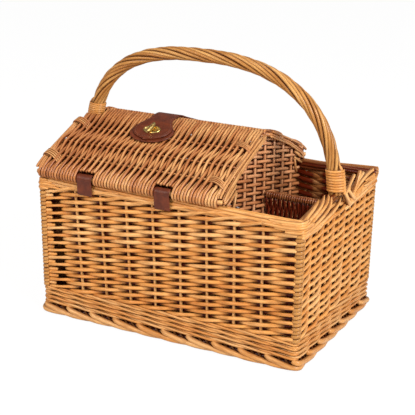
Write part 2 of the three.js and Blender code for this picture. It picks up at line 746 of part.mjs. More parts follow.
// Lid panel: sticks along the lid, weavers across it that turn round the hinge and ridge sticks
function lidPanelGeometry(side) {
  const low = lidLeft + BOW_RADIUS + GAP;
  const high = lidRight - BOW_RADIUS - GAP;
  const line = lidLine();
  const level = offsetLine(line, 1);
  const raised = offsetLine(line, 1 + (2 * LID_WAVE) / LID_THICKNESS);
  const under = offsetLine(line, -1);
  const archStart = line.findIndex(({ onArch }) => onArch);
  const top = Array.from({ length: LID_WEAVERS + 1 }, (_, c) =>
    line.map(({ onArch }, v) => {
      const stick = (v - archStart - 1) / 2;
      const over = onArch && Number.isInteger(stick) && (c + stick) % 2 === 0;
      const p = over ? raised[v] : level[v];
      return vec(lerp(low, high, c / LID_WEAVERS), side * p.x, p.y);
    }));
  const bottom = [low, high].map((x) => under.map((p) => vec(x, side * p.x, p.y)));
  const panelGeometry = panel(top, bottom);
  const loopRoom = LOOP_WIDTH / 2 + LOOP_THICKNESS;
  const notchStart = hingeY - LOOP_NOTCH_DEPTH;
  const notchEnd = hingeY + CUT_REACH;
  const notches = LOOP_X.map((x) =>
    block(
      vec(x - loopRoom, Math.min(side * notchStart, side * notchEnd), hingeZ - CUT_REACH),
      vec(x + loopRoom, Math.max(side * notchStart, side * notchEnd), hingeZ + CUT_REACH),
    ));
  const notchDepth = HANDLE_NOTCH[1];
  const handleNotch = block(
    vec(lidLeft - CUT_REACH, Math.min(0, side * notchDepth), ridgeZ - CUT_REACH),
    vec(lidLeft + HANDLE_NOTCH[0], Math.max(0, side * notchDepth), ridgeZ + CUT_REACH),
  );
  return cut(panelGeometry, ...notches, handleNotch);
}

const hingeStickGeometry = (side) =>
  rod(
    vec(lidLeft - 2, side * hingeY, hingeZ),
    vec(lidRight + 2, side * hingeY, hingeZ),
    HINGE_STICK_RADIUS,
    12,
  );

const ridgeStickGeometry = (side) =>
  rod(
    vec(lidLeft + HANDLE_NOTCH[0] - 4, side * RIDGE_Y, ridgeZ),
    vec(lidRight + 2, side * RIDGE_Y, ridgeZ),
    RIDGE_STICK_RADIUS,
    10,
  );

// A bent rod that holds the arch at one end of a lid
function bowGeometry(x, side, last) {
  const steps = 12;
  const path = new THREE.CatmullRomCurve3(
    Array.from({ length: steps + 1 }, (_, i) => {
      const p = arch.getPoint(lerp(0.075, last, i / steps));
      return vec(x, side * p.x, p.y);
    }),
  );
  const section = new THREE.Shape().absarc(0, 0, BOW_RADIUS, 0, 2 * Math.PI);
  return new THREE.ExtrudeGeometry(section, { steps: 8, curveSegments: 4, extrudePath: path });
}

// A tie of fine willow that lashes a lengthwise stick's end to the bow and hooks over it
function tieGeometry(x, inward, side, distance) {
  const low = LID_THICKNESS / 2 + LID_WAVE + GAP;
  const past = BOW_RADIUS + GAP;
  const path = [
    { reach: TIE_LENGTH, height: low },
    { reach: 0, height: low },
    { reach: -past, height: BOW_RADIUS },
    { reach: -past, height: -TIE_HOOK },
  ];
  const outer = [
    { reach: TIE_LENGTH, height: low + TIE_THICKNESS },
    { reach: 0, height: low + TIE_THICKNESS },
    { reach: -past - TIE_THICKNESS, height: BOW_RADIUS },
    { reach: -past - TIE_THICKNESS, height: -TIE_HOOK },
  ];
  const at = ({ reach, height }, across, sunk) => {
    const p = surface(distance + (across * TIE_WIDTH) / 2, height - sunk);
    return vec(x + inward * reach, side * p.x, p.y);
  };
  const rings = path.map((inside, i) => [
    at(inside, -1, 0),
    at(outer[i], -1, 0),
    at(outer[i], -0.34, i < 2 ? 0.7 : 0),
    at(outer[i], 0.34, i < 2 ? 0.7 : 0),
    at(outer[i], 1, 0),
    at(inside, 1, 0),
  ]);
  return loft(rings);
}

// A leather loop round the hinge stick and the border below it
function loopGeometry(side) {
  const innerLow = borderBottom - GAP;
  const near = RIM_DEPTH / 2 - WALL_THICKNESS - GAP;
  const far = RIM_DEPTH / 2 + 1.5 + GAP;
  const round = HINGE_STICK_RADIUS + 2 * GAP;
  const outline = (grow) => {
    const shape = new THREE.Shape();
    shape.moveTo(near - grow, innerLow - grow);
    shape.lineTo(far + grow, innerLow - grow);
    shape.lineTo(far + grow, RIM_HEIGHT);
    shape.absarc(hingeY, hingeZ, round + grow, -0.35, Math.PI * 0.9, false);
    shape.lineTo(near - grow, RIM_HEIGHT);
    return shape;
  };
  const band = outline(LOOP_THICKNESS);
  band.holes.push(outline(0));
  const geometry = new THREE.ExtrudeGeometry(band, { depth: LOOP_WIDTH, bevelEnabled: false, curveSegments: 5 });
  geometry.applyMatrix4(new THREE.Matrix4().makeBasis(vec(0, 1, 0), vec(0, 0, 1), vec(1, 0, 0)));
  geometry.translate(-LOOP_WIDTH / 2, 0, 0);
  if (side < 0) geometry.rotateZ(Math.PI);
  return geometry;
}

// Where the lock sits on the front lid
const slopeAt = (distance) => {
  let t = 0.5;
  for (let i = 0; i < 30; i += 1) t += (arch.getPoint(t).x - distance) / hingeY;
  return t;
};
const surface = (distance, height) => offArch(slopeAt(distance), height);
const patchBottom = LID_THICKNESS / 2 + LID_WAVE + GAP;
const strapBottom = patchBottom + PATCH_THICKNESS + GAP;

// The strap's height line over the ridge, as a curve of distance from the ridge plane and height
function strapPath() {
  const crest = lidTop + WRAP_THICKNESS / 2 + STRAP_RISE;
  const places = [STRAP_REACH, LOCK_Y, 25];
  const front = places.map((d) => surface(d, strapBottom + STRAP_THICKNESS / 2));
  const back = places.map((d) => surface(d, patchBottom + STRAP_THICKNESS / 2)).reverse();
  const points = [
    ...front.map((p) => vec(0, -p.x, p.y)),
    vec(0, -RIDGE_Y, crest),
    vec(0, RIDGE_Y, crest),
    ...back.map((p) => vec(0, p.x, p.y)),
  ];
  return new THREE.CatmullRomCurve3(points, false, 'centripetal');
}

// A leather strip between two places along the strap's path, as wide as the real strap is there
function strapGeometry(fromY, toY) {
  const path = strapPath();
  const steps = 14;
  const samples = [];
  for (let i = 0; i <= 120; i += 1) samples.push({ t: i / 120, p: path.getPoint(i / 120) });
  const tAt = (y) => {
    const next = samples.findIndex(({ p }) => p.y >= y);
    if (next <= 0) return next === 0 ? 0 : 1;
    const a = samples[next - 1];
    const b = samples[next];
    return lerp(a.t, b.t, (y - a.p.y) / (b.p.y - a.p.y));
  };
  const halfWidth = (y) => {
    const d = Math.abs(y);
    const end = STRAP_REACH - 24;
    if (d > end) return STRAP_END_HALF_WIDTH * Math.sqrt(Math.max(0.06, 1 - ((d - end) / 25) ** 2));
    const share = THREE.MathUtils.smoothstep(d, 18, end);
    return lerp(STRAP_HALF_WIDTH, STRAP_END_HALF_WIDTH, share);
  };
  const strip = (lift) =>
    Array.from({ length: steps + 1 }, (_, i) => {
      const y = lerp(fromY, toY, i / steps);
      const t = tAt(y);
      const p = path.getPoint(t);
      const along = path.getTangent(t);
      const half = halfWidth(y);
      return [-1, 0, 1].map((side) => vec(STRAP_X + side * half, p.y - along.z * lift, p.z + along.y * lift));
    });
  return panel(strip(STRAP_THICKNESS / 2), strip(-STRAP_THICKNESS / 2));
}

// The lock stands square to the lid's slope
const lockCentre = surface(LOCK_Y, 0);
const lockNormal = surface(LOCK_Y, 1).sub(lockCentre);
const lockTilt = Math.atan2(lockNormal.x, lockNormal.y);

function placeOnLock(piece, height) {
  piece.position.set(STRAP_X, -(lockCentre.x + lockNormal.x * height), lockCentre.y + lockNormal.y * height);
  piece.rotation.set(lockTilt, 0, 0);
  return piece;
}

function ovalPlate(halfWidth, halfDepth2, thickness, segments = 14) {
  const shape = new THREE.Shape().absellipse(0, 0, halfWidth, halfDepth2, 0, 2 * Math.PI);
  return new THREE.ExtrudeGeometry(shape, { depth: thickness, bevelEnabled: false, curveSegments: segments });
}

// Leather patch under the lock, bent to the lid
function patchGeometry() {
  const steps = 10;
  const strip = (height) =>
    Array.from({ length: steps + 1 }, (_, i) => {
      const share = lerp(-0.97, 0.97, i / steps);
      const d = LOCK_Y + 2 + PATCH_HALF_DEPTH * share;
      const half = PATCH_HALF_WIDTH * Math.sqrt(1 - share * share);
      const p = surface(d, height);
      return [-1, 0, 1].map((side) => vec(STRAP_X + side * half, -p.x, p.y));
    });
  return panel(strip(patchBottom + PATCH_THICKNESS), strip(patchBottom));
}

function strapEndHole() {
  const hole = ovalPlate(LOCK_HALF_WIDTH + GAP, LOCK_HALF_DEPTH + GAP, 20);
  hole.rotateX(lockTilt);
  return hole.translate(
    STRAP_X,
    -(lockCentre.x + lockNormal.x * patchBottom),
    lockCentre.y + lockNormal.y * patchBottom,
  );
}

const lockHeight = STRAP_THICKNESS + LOCK_PROUD + GAP;
function lockPlateGeometry() {
  const plate = ovalPlate(LOCK_HALF_WIDTH, LOCK_HALF_DEPTH, lockHeight);
  const bore = new THREE.CylinderGeometry(KNOB_STEM_RADIUS + GAP, KNOB_STEM_RADIUS + GAP, 3, 16);
  bore.rotateX(Math.PI / 2);
  return cut(plate, bore.translate(0, 0, lockHeight));
}

function knobGeometry() {
  const half = KNOB_LENGTH / 2 - KNOB_WIDTH / 2;
  const shape = new THREE.Shape();
  shape.absarc(0, half, KNOB_WIDTH / 2, 0, Math.PI, false);
  shape.absarc(0, -half, KNOB_WIDTH / 2, Math.PI, 2 * Math.PI, false);
  const bevel = { bevelEnabled: true, bevelThickness: 1, bevelSize: 1, bevelOffset: -1, bevelSegments: 1 };
  const wing = new THREE.ExtrudeGeometry(shape, { depth: KNOB_HEIGHT - 2, curveSegments: 4, ...bevel });
  wing.translate(0, 0, 1);
  const stem = new THREE.CylinderGeometry(KNOB_STEM_RADIUS, KNOB_STEM_RADIUS, 4, 12);
  stem.rotateX(Math.PI / 2);
  return join(wing, stem.translate(0, 0, 0.8));
}

// A domed rivet, its shank down through the leather
function rivetGeometry() {
  const profile = [
    [0, -STRAP_THICKNESS - GAP],
    [RIVET_SHANK, -STRAP_THICKNESS - GAP],
    [RIVET_SHANK, 0],
    [RIVET_RADIUS, 0],
    [RIVET_RADIUS * 0.8, 1.2],
    [0, 1.8],
  ];
  const geometry = new THREE.LatheGeometry(profile.map(([r, z]) => new THREE.Vector2(r, z)), 10);
  return geometry.rotateX(Math.PI / 2);
}

const rivetPlaces = [-RIVET_SPACING / 2, RIVET_SPACING / 2].map((x) => {
  const foot = surface(RIVET_Y, patchBottom + STRAP_THICKNESS + GAP);
  return vec(STRAP_X + x, foot.x, foot.y);
});
const rivetNormal = surface(RIVET_Y, 1).sub(surface(RIVET_Y, 0));
const rivetTilt = -Math.atan2(rivetNormal.x, rivetNormal.y);

// The strap's end on the back lid, with a hole for each rivet
function fixedEndGeometry() {
  const holes = rivetPlaces.map((at) => {
    const along = vec(0, rivetNormal.x, rivetNormal.y);
    const from = at.clone().addScaledVector(along, -2 * STRAP_THICKNESS);
    const to = at.clone().addScaledVector(along, 2 * STRAP_THICKNESS);
    return rod(from, to, RIVET_SHANK + GAP);
  });
  return cut(strapGeometry(STRAP_HINGE_Y, STRAP_REACH), ...holes);
}

// Assembly
const basket = new THREE.Group();
basket.add(mesh('foot_border', footGeometry(), WILLOW));
basket.add(mesh('bottom_wale', waleGeometry(), WILLOW));
basket.add(mesh('base_panel', baseGeometry(), WILLOW));
basket.add(mesh('front_wall', longWallGeometry(-1), WILLOW));
basket.add(mesh('back_wall', longWallGeometry(1), WILLOW));
basket.add(mesh('left_wall', leftWallGeometry(), WILLOW));
basket.add(mesh('right_wall', rightWallGeometry(), WILLOW));
for (const [nameX, sideX] of [['left', -1], ['right', 1]]) {
  for (const [nameY, sideY] of [['front', -1], ['back', 1]]) {
    basket.add(mesh(`corner_post_${nameY}_${nameX}`, postGeometry(sideX, sideY), WILLOW));
  }
}
basket.add(mesh('border_front', longBorderGeometry(-1), WILLOW));
basket.add(mesh('border_back', longBorderGeometry(1), WILLOW));
basket.add(mesh('border_right', rightBorderGeometry(), WILLOW));
basket.add(mesh('divider', dividerGeometry(), LID_WILLOW));
basket.add(mesh('bottle_partition', partitionGeometry(), WILLOW));
basket.add(mesh('partition_rail', railGeometry(), WILLOW));
basket.add(mesh('handle', handleGeometry(), HANDLE_WILLOW));

// Bindings and the rod ends bound in with the handle, each placed along the handle's foot
const feet = [
  { name: 'right', side: 1, foot: rightFoot, length: BINDING_LENGTH },
  { name: 'left', side: -1, foot: leftFoot, length: LEFT_BINDING_LENGTH },
];
for (const { name, side, foot, length } of feet) {
  const group = new THREE.Group();
  const topAngle = angleAtHeight(foot.z + length);
  const top = handlePoint(side > 0 ? topAngle : Math.PI - topAngle);
  const angle = Math.atan2(top.x - foot.x, top.z - foot.z);
  group.position.set(foot.x, 0, foot.z + 1.5);
  group.rotation.set(0, angle, 0);
  const binding = mesh(`binding_${name}`, bindingGeometry(length), WILLOW);
  binding.rotation.z = side > 0 ? 0 : Math.PI;
  const boundRod = mesh(
    `bound_rod_${name}`,
    rod(vec(0, 0, -1), vec(0, 0, length + BOUND_ROD_STANDS_OUT), BOUND_ROD_RADIUS),
    WILLOW,
  );
  boundRod.position.x = side * (HANDLE_RADIUS + BOUND_ROD_RADIUS + GAP);
  group.add(binding, boundRod);
  basket.add(group);
}

for (const [name, side] of [['front', -1], ['back', 1]]) {
  for (const [place, x] of [['left', LOOP_X[0]], ['right', LOOP_X[1]]]) {
    const loop = mesh(`hinge_loop_${name}_${place}`, loopGeometry(side), LEATHER);
    loop.position.x = x;
    basket.add(loop);
  }
}

const lids = new THREE.Group();
for (const [name, side] of [['front', -1], ['back', 1]]) {
  const lid = new THREE.Group();
  lid.add(mesh(`${name}_lid_panel`, lidPanelGeometry(side), LID_WILLOW));
  lid.add(mesh(`${name}_lid_hinge_stick`, hingeStickGeometry(side), WILLOW));
  lid.add(mesh(`${name}_lid_ridge_stick`, ridgeStickGeometry(side), WILLOW));
  lid.add(mesh(`${name}_lid_bow_left`, bowGeometry(lidLeft, side, 0.84), WILLOW));
  lid.add(mesh(`${name}_lid_bow_right`, bowGeometry(lidRight, side, 0.93), WILLOW));
  for (const [place, x, inward] of [['left', lidLeft, 1], ['right', lidRight, -1]]) {
    for (const [i, distance] of TIE_DISTANCES.entries()) {
      const tie = tieGeometry(x, inward, side, distance);
      lid.add(mesh(`${name}_lid_tie_${place}_${i + 1}`, tie, LID_WILLOW));
    }
  }
  lids.add(lid);
}

lids.add(mesh('lock_backing_patch', patchGeometry(), LEATHER));
lids.add(placeOnLock(mesh('lock_plate', lockPlateGeometry(), BRASS), strapBottom));
lids.add(placeOnLock(mesh('turn_knob', knobGeometry(), BRASS), strapBottom + lockHeight + GAP));
lids.add(mesh('closure_strap', cut(strapGeometry(-STRAP_REACH, STRAP_HINGE_Y - GAP), strapEndHole()), LEATHER));
lids.add(mesh('strap_fixed_end', fixedEndGeometry(), LEATHER));
for (const [i, at] of rivetPlaces.entries()) {
  const rivet = mesh(`strap_rivet_${i + 1}`, rivetGeometry(), BRASS);
  rivet.position.copy(at);
  rivet.rotation.x = rivetTilt;
  lids.add(rivet);
}

const whole = new THREE.Group();
whole.add(basket, lids);

export default whole;
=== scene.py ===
# A willow picnic basket: woven body, two arched lids, roped bow handle, leather and brass.
# Lengths in the sections are millimetres; meshes are made in metres.

import math
import random

import bmesh
import bpy
import numpy as np
from mathutils import Matrix, Vector


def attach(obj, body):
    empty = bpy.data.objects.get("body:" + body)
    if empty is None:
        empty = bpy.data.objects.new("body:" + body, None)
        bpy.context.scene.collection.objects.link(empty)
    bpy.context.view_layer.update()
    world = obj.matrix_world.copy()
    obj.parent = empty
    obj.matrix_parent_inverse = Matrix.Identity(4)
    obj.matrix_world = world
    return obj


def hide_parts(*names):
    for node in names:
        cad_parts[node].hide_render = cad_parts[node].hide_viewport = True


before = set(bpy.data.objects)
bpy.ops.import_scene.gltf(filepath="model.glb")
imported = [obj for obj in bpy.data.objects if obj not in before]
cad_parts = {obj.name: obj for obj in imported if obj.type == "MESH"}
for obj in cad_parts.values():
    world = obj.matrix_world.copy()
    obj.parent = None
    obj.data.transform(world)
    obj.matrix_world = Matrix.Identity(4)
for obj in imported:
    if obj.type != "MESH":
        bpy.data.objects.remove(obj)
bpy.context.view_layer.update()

# Floor of the basket: thick cross sticks along its length, with thin willow woven over and
# under them from front to back. It hangs inside the foot border, clear of the ground.
MM = 0.001
BASE_HALF = (214.0, 139.0)
BASE_MIDDLE_Z = 9.4
BASE_STICKS = 5
BASE_STICK_RADIUS = 1.7
BASE_STICK_INSET = 12.0
BASE_WEAVER_RADIUS = 3.15
BASE_WEAVER_PITCH = 5.0
BASE_WAVE = 1.2
ROD_END_BULGE = 0.35
SUNK_FROM = 0.5
SUNK_OVER = 0.35
STREAK = (0.55, 0.44, 0.341)
vary = random.Random(7).uniform


def unit(v):
    v = np.asarray(v, float)
    return v / np.maximum(np.linalg.norm(v, axis=-1, keepdims=True), 1e-9)


def at_each(value, count):
    return np.broadcast_to(np.asarray(value, float), (count,))


# The distance run along a line at each of its points
def run_along(points, power=1.0):
    steps = np.linalg.norm(np.diff(points, axis=0), axis=1) ** power
    return np.concatenate([[0], np.cumsum(steps)])


# Points from a number or a line of numbers for each of x, y and z
def xyz(x, y, z):
    return np.stack(np.broadcast_arrays(x, y, z), -1)


# A straight stick along the basket
def straight(x0, x1, y, z):
    return xyz(np.linspace(x0, x1, 3), y, z)


# One willow rod: the points it follows, its radius, a tone from pale to dark, and the way that
# faces out of the work. flat squeezes it that way. proud tells from 1 to -1 how far it stands
# out of the work or lies sunk in it; where it lies well sunk, shade is painted on it. The last
# three paint shade into its colour: all round, on its two edges, and on its inner side.
def rod(points, radius, tone=None, out=(0, 0, 1), flat=1.0, proud=0.6, dust=0.0, edge=0.3,
        inner=0.8):
    points = np.asarray(points, float)
    count = len(points)
    return {
        "points": points,
        "radii": at_each(radius, count),
        "tone": vary(0.12, 0.72) if tone is None else tone,
        "out": np.broadcast_to(np.asarray(out, float), (count, 3)),
        "flat": flat,
        "proud": at_each(proud, count),
        "dust": at_each(dust, count),
        "edge": edge,
        "inner": inner,
    }


# Puts new mesh, lamp or camera data in the scene
def placed(name, data):
    piece = bpy.data.objects.new(name, data)
    bpy.context.scene.collection.objects.link(piece)
    return piece


# Rods joined into one mesh, with the length along each rod and the way round it kept as UV.
# Shade is painted into the deep attribute: it darkens the sides that face into the work,
# the rods' edges, and the parts that lie sunk behind others.
def rod_mesh(name, rods, sides):
    turn = 2 * math.pi * np.arange(sides) / sides
    rise, reach = np.sin(turn), np.cos(turn)
    toward, away = np.clip(rise, 0, 1), np.clip(-rise, 0, 1)
    j = np.arange(sides)[None, :]
    verts, faces, uvs, tones, sunk = [], [], [], [], []
    start = 0
    for item in rods:
        p, radii = item["points"], item["radii"]
        n = len(p)
        along = unit(np.gradient(p, axis=0))
        out = item["out"]
        out = unit(out - (out * along).sum(1, keepdims=True) * along)
        side = np.cross(along, out)
        r = radii[:, None, None]
        ring = p[:, None, :] + r * item["flat"] * rise[:, None] * out[:, None, :]
        ring = ring + r * reach[:, None] * side[:, None, :]
        verts.append(ring.reshape(-1, 3))
        first = p[0] - along[0] * radii[0] * ROD_END_BULGE
        last = p[-1] + along[-1] * radii[-1] * ROD_END_BULGE
        verts.append(np.array([first, last]))
        rows = np.arange(n - 1)[:, None] * sides
        a, b = rows + j, rows + (j + 1) % sides
        faces.append(np.stack([a, b, b + sides, a + sides], -1).reshape(-1, 4) + start)
        length = run_along(p) * MM
        u0, u1 = (np.broadcast_to(u[:, None], (n - 1, sides)) for u in (length[:-1], length[1:]))
        v0, v1 = (np.broadcast_to(v / sides, (n - 1, sides)) for v in (j, j + 1))
        uvs.append(np.stack([u0, v0, u0, v1, u1, v1, u1, v0], -1).reshape(-1, 2))
        tail = start + n * sides
        cap = []
        for q in range(sides):
            following = (q + 1) % sides
            cap.append((tail, start + following, start + q))
            cap.append((tail + 1, tail - sides + q, tail - sides + following))
        faces.append(np.array(cap))
        uvs.append(np.full((6 * sides, 2), 0.5))
        tones.append(np.full(n * sides + 2, item["tone"]))
        # Painted shade: where the rod lies sunk, on its edges and inner side, and any shade set all round
        behind = np.clip((-item["proud"][:, None] - SUNK_FROM) / SUNK_OVER, 0, 1)
        hidden = behind + item["edge"] * (1 - toward) ** 1.5 * (1 - away) + item["inner"] * away
        sunk.append(np.clip(hidden + item["dust"][:, None], 0, 1).reshape(-1))
        sunk.append(np.zeros(2))
        start = tail + 2
    mesh = bpy.data.meshes.new(name)
    co = np.concatenate(verts) * MM
    loops = np.concatenate([f.reshape(-1) for f in faces])
    sizes = np.concatenate([np.full(len(f), f.shape[1]) for f in faces])
    mesh.vertices.add(len(co))
    mesh.vertices.foreach_set("co", co.reshape(-1))
    mesh.loops.add(len(loops))
    mesh.loops.foreach_set("vertex_index", loops)
    mesh.polygons.add(len(sizes))
    mesh.polygons.foreach_set("loop_start", np.concatenate([[0], np.cumsum(sizes)[:-1]]))
    mesh.polygons.foreach_set("use_smooth", np.ones(len(sizes), bool))
    mesh.update(calc_edges=True)
    layer = mesh.uv_layers.new(name="along_rod")
    layer.data.foreach_set("uv", np.concatenate(uvs).reshape(-1))
    for kept, values in (("tone", tones), ("deep", sunk)):
        layer = mesh.attributes.new(kept, "FLOAT", "POINT")
        layer.data.foreach_set("value", np.concatenate(values))
    return placed(name, mesh)


# A new material with its tree of nodes and the node that shades it
def new_material(name):
    material = bpy.data.materials.new(name)
    material.use_nodes = True
    return material, material.node_tree, material.node_tree.nodes["Principled BSDF"]


# Fills a node's inputs: another node's output is linked in, and a plain value is set
def feed(tree, node, inputs):
    for key, value in inputs.items():
        if isinstance(value, bpy.types.NodeSocket):
            tree.links.new(value, node.inputs[key])
        else:
            node.inputs[key].default_value = value


# A new node with its inputs and its settings
def add_node(tree, kind, inputs, **settings):
    node = tree.nodes.new("ShaderNode" + kind)
    for key, value in settings.items():
        setattr(node, key, value)
    feed(tree, node, inputs)
    return node


# A ramp through colours, each at its place from 0 to 1: the two ends, then any between
def colour_ramp(tree, factor, *stops):
    ramp = add_node(tree, "ValToRGB", {0: factor})
    marks = ramp.color_ramp.elements
    for i, (place, colour) in enumerate(stops):
        mark = marks[i] if i < 2 else marks.new(place)
        mark.position = place
        mark.color = (*colour, 1)
    return ramp.outputs[0]


# Soft clouds through a piece, finer with a higher scale
def clouds(tree, scale, detail):
    spot = add_node(tree, "TexCoord", {}).outputs["Object"]
    return add_node(tree, "TexNoise", {"Vector": spot, "Scale": scale, "Detail": detail}).outputs[0]


# One colour laid over another by a share, multiplied in: the grain's streaks, and the painted shade
def tinted(tree, share, colour, tint):
    inputs = {0: share, 6: colour, 7: tint}
    return add_node(tree, "Mix", inputs, data_type="RGBA", blend_type="MULTIPLY").outputs[2]


# Peeled willow: each rod's tone and soft clouds pick a colour from pale to dark. Darker streaks
# run along the rod, shade is painted in a warm dark tint where the deep attribute marks it, and
# it has a waxy shine.
def willow(name, pale, middle, dark, roughness=0.34, painted_shade_tint=(0.13, 0.025, 0.005)):
    material, tree, shade = new_material(name)
    tone = add_node(tree, "Attribute", {}, attribute_name="tone").outputs["Fac"]
    deep = add_node(tree, "Attribute", {}, attribute_name="deep").outputs["Fac"]
    way = add_node(tree, "UVMap", {}, uv_map="along_rod").outputs[0]
    way = add_node(tree, "Mapping", {"Vector": way, "Scale": (60, 9, 1)}).outputs[0]
    seed = add_node(tree, "Math", {0: tone, 1: 97}, operation="MULTIPLY").outputs[0]
    fibres = {"Vector": way, "W": seed, "Scale": 1, "Detail": 4}
    grain = add_node(tree, "TexNoise", fibres, noise_dimensions="4D").outputs[0]
    blend = {0: 0.45, 2: tone, 3: clouds(tree, 26, 2)}
    blend = add_node(tree, "Mix", blend, data_type="FLOAT").outputs[0]
    plain = colour_ramp(tree, blend, (0.2, pale), (0.85, dark), (0.5, middle))
    streaks = colour_ramp(tree, grain, (0.3, STREAK), (0.56, (1, 1, 1)))
    # Painted shade: the deep attribute tints the colour towards the dark shade tint
    colour = tinted(tree, deep, tinted(tree, 0.75, plain, streaks), (*painted_shade_tint, 1))
    bump = add_node(tree, "Bump", {"Strength": 0.25, "Distance": 0.0006, "Height": grain})
    feed(tree, shade, {"Base Color": colour, "Normal": bump.outputs[0]})
    feed(tree, shade, {"Roughness": roughness, "Specular IOR Level": 0.29})
    return material


BODY_WILLOW = willow("body_willow", (0.89, 0.495, 0.19), (0.80, 0.355, 0.09), (0.61, 0.20, 0.038))


# Puts a finished piece on its body, in place of the solid that it stands for
def fit(piece, node, body="basket", material=BODY_WILLOW):
    piece.data.materials.clear()
    piece.data.materials.append(material)
    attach(piece, body)
    if node:
        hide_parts(node)


def fit_rods(name, rods, node, body="basket", slot="willow_body", material=BODY_WILLOW, sides=8):
    fit(rod_mesh(name, rods, sides), node, body, material)


# A weaver's wave between crossings, from rounded to straight: plus one above a stick, minus
# one below it
def wave(at, crossings, heights, straightness=0.0):
    i = np.clip(np.searchsorted(crossings, at) - 1, 0, len(crossings) - 2)
    lo, hi = np.asarray(crossings)[i], np.asarray(crossings)[i + 1]
    share = np.clip((at - lo) / (hi - lo), 0, 1)
    ease = (1 - straightness) * (1 - np.cos(math.pi * share)) / 2 + straightness * share
    return np.asarray(heights)[i] * (1 - ease) + np.asarray(heights)[i + 1] * ease


# The base's sticks and weavers have shade painted on them all round.
rods = []
last_stick = BASE_HALF[1] - BASE_STICK_INSET
stick_places = np.linspace(-last_stick, last_stick, BASE_STICKS)
for y in stick_places:
    stick = straight(-BASE_HALF[0], BASE_HALF[0], y, BASE_MIDDLE_Z)
    rods.append(rod(stick, BASE_STICK_RADIUS, dust=0.5))
for i in range(int(2 * BASE_HALF[0] / BASE_WEAVER_PITCH)):
    x = -BASE_HALF[0] + BASE_WEAVER_PITCH * (i + 0.5)
    y = np.linspace(-BASE_HALF[1], BASE_HALF[1], 36)
    heights = [(1 if (i + k) % 2 else -1) * BASE_WAVE for k in range(BASE_STICKS)]
    z = BASE_MIDDLE_Z + wave(y, stick_places, heights)
    rods.append(rod(xyz(x, y, z), BASE_WEAVER_RADIUS, flat=0.85, dust=0.4, inner=0.5))
fit_rods("base_weave", rods, "base_panel", sides=6)

# Foot border: each stake's end is carried down and away to the right as a thick stroke and
# tucked under the next ones, all the way round. The basket stands on it.
RIM_HALF = (229.0, 155.0)
BASE_OUTER = (227.5, 152.0)
RIM_TOP = 235.0
CORNER_ROUND = 10.0
LONG_RUN = 2 * (RIM_HALF[0] - CORNER_ROUND)
SHORT_RUN = 2 * (RIM_HALF[1] - CORNER_ROUND)
CORNER_RUN = math.pi * CORNER_ROUND / 2
ROUND_LENGTH = 2 * (LONG_RUN + SHORT_RUN) + 4 * CORNER_RUN
STAKE_SPACING = 45.0
ROUND_STAKES = round(ROUND_LENGTH / STAKE_SPACING)
ROUND_SPACING = ROUND_LENGTH / ROUND_STAKES
FOOT_TOP = 17.5
FOOT_RADIUS = 4.6
FOOT_STROKE = 98.0
FOOT_LOW_Z = 4.9
FOOT_DROP = 11.6
FOOT_TUCK = 6.5
FOOT_RING_LEVELS = (4.5, 9.5, 14.5)
FOOT_TWIG = ((0, 18, 7.5), (4, 11, 7.8), (10, 5, 8.5))
FOOT_TWIG_RADIUS = 1.9


# Half the body's length and depth at a height: it widens a little up to the rim
def half_at(z):
    lean = np.asarray(z, float) / RIM_TOP
    return [low + (high - low) * lean for low, high in zip(BASE_OUTER, RIM_HALF)]


# A place on the outline round the basket, counted from the front left corner to the right:
# the distance round, the height, and the depth in from the outside
def round_body(s, z, depth):
    s, z, depth = np.broadcast_arrays(*(np.asarray(v, float) for v in (s, z, depth)))
    s = np.mod(s, ROUND_LENGTH)
    spot, facing = np.zeros(s.shape + (2,)), np.zeros(s.shape + (2,))
    at = 0.0
    for side, run in enumerate([LONG_RUN, SHORT_RUN] * 2):
        turn = side * math.pi / 2
        forward = np.array([math.cos(turn), math.sin(turn)])
        outward = np.array([math.sin(turn), -math.cos(turn)])
        middle_out = (RIM_HALF[1], RIM_HALF[0])[side % 2]
        here = (s >= at) & (s < at + run)
        spot[here] = ((s - at - run / 2)[..., None] * forward + middle_out * outward)[here]
        facing[here] = outward
        at += run
        bend = (s >= at) & (s < at + CORNER_RUN)
        a = turn - math.pi / 2 + (s - at) / CORNER_ROUND
        aside = np.stack([np.cos(a), np.sin(a)], -1)
        centre = forward * run / 2 + outward * (middle_out - CORNER_ROUND)
        spot[bend] = (centre + CORNER_ROUND * aside)[bend]
        facing[bend] = aside[bend]
        at += CORNER_RUN
    hx, hy = half_at(z)
    x = spot[..., 0] * hx / RIM_HALF[0] - facing[..., 0] * depth
    y = spot[..., 1] * hy / RIM_HALF[1] - facing[..., 1] * depth
    return xyz(x, y, z), xyz(facing[..., 0], facing[..., 1], 0)


# Rounds off the corners in a line of numbers and keeps its two ends
def rounded(values, width):
    pad = width // 2
    longer = np.concatenate([np.full(pad, values[0]), values, np.full(pad, values[-1])])
    soft = np.convolve(longer, np.ones(width) / width, "valid")
    soft[0], soft[-1] = values[0], values[-1]
    return soft


# Columns of numbers given at even steps, read off more finely, with their corners rounded
def between(keys, count, width=1):
    keys = np.asarray(keys, float)
    fine = np.linspace(0, len(keys) - 1, count)
    return [rounded(np.interp(fine, np.arange(len(keys)), column), width) for column in keys.T]


# A rod laid round the body through points of distance, height and depth
def round_rod(keys, radius, steps=10, **more):
    count = (len(keys) - 1) * steps + 1
    if "proud" in more:
        more["proud"] = between(np.reshape(more["proud"], (-1, 1)), count)[0]
    s = between(keys, count)[0]
    _, z, depth = between(keys, count, steps + 1)
    points, out = round_body(s, z, depth)
    return rod(points, radius, out=out, **more)


# A ring that closes the work from inside at one height; it lies sunk, so shade is painted on it all over
def inner_ring(z, depth, radius):
    points, out = round_body(np.linspace(0, ROUND_LENGTH, 240), z, depth)
    return rod(points, radius, out=out, proud=-1)


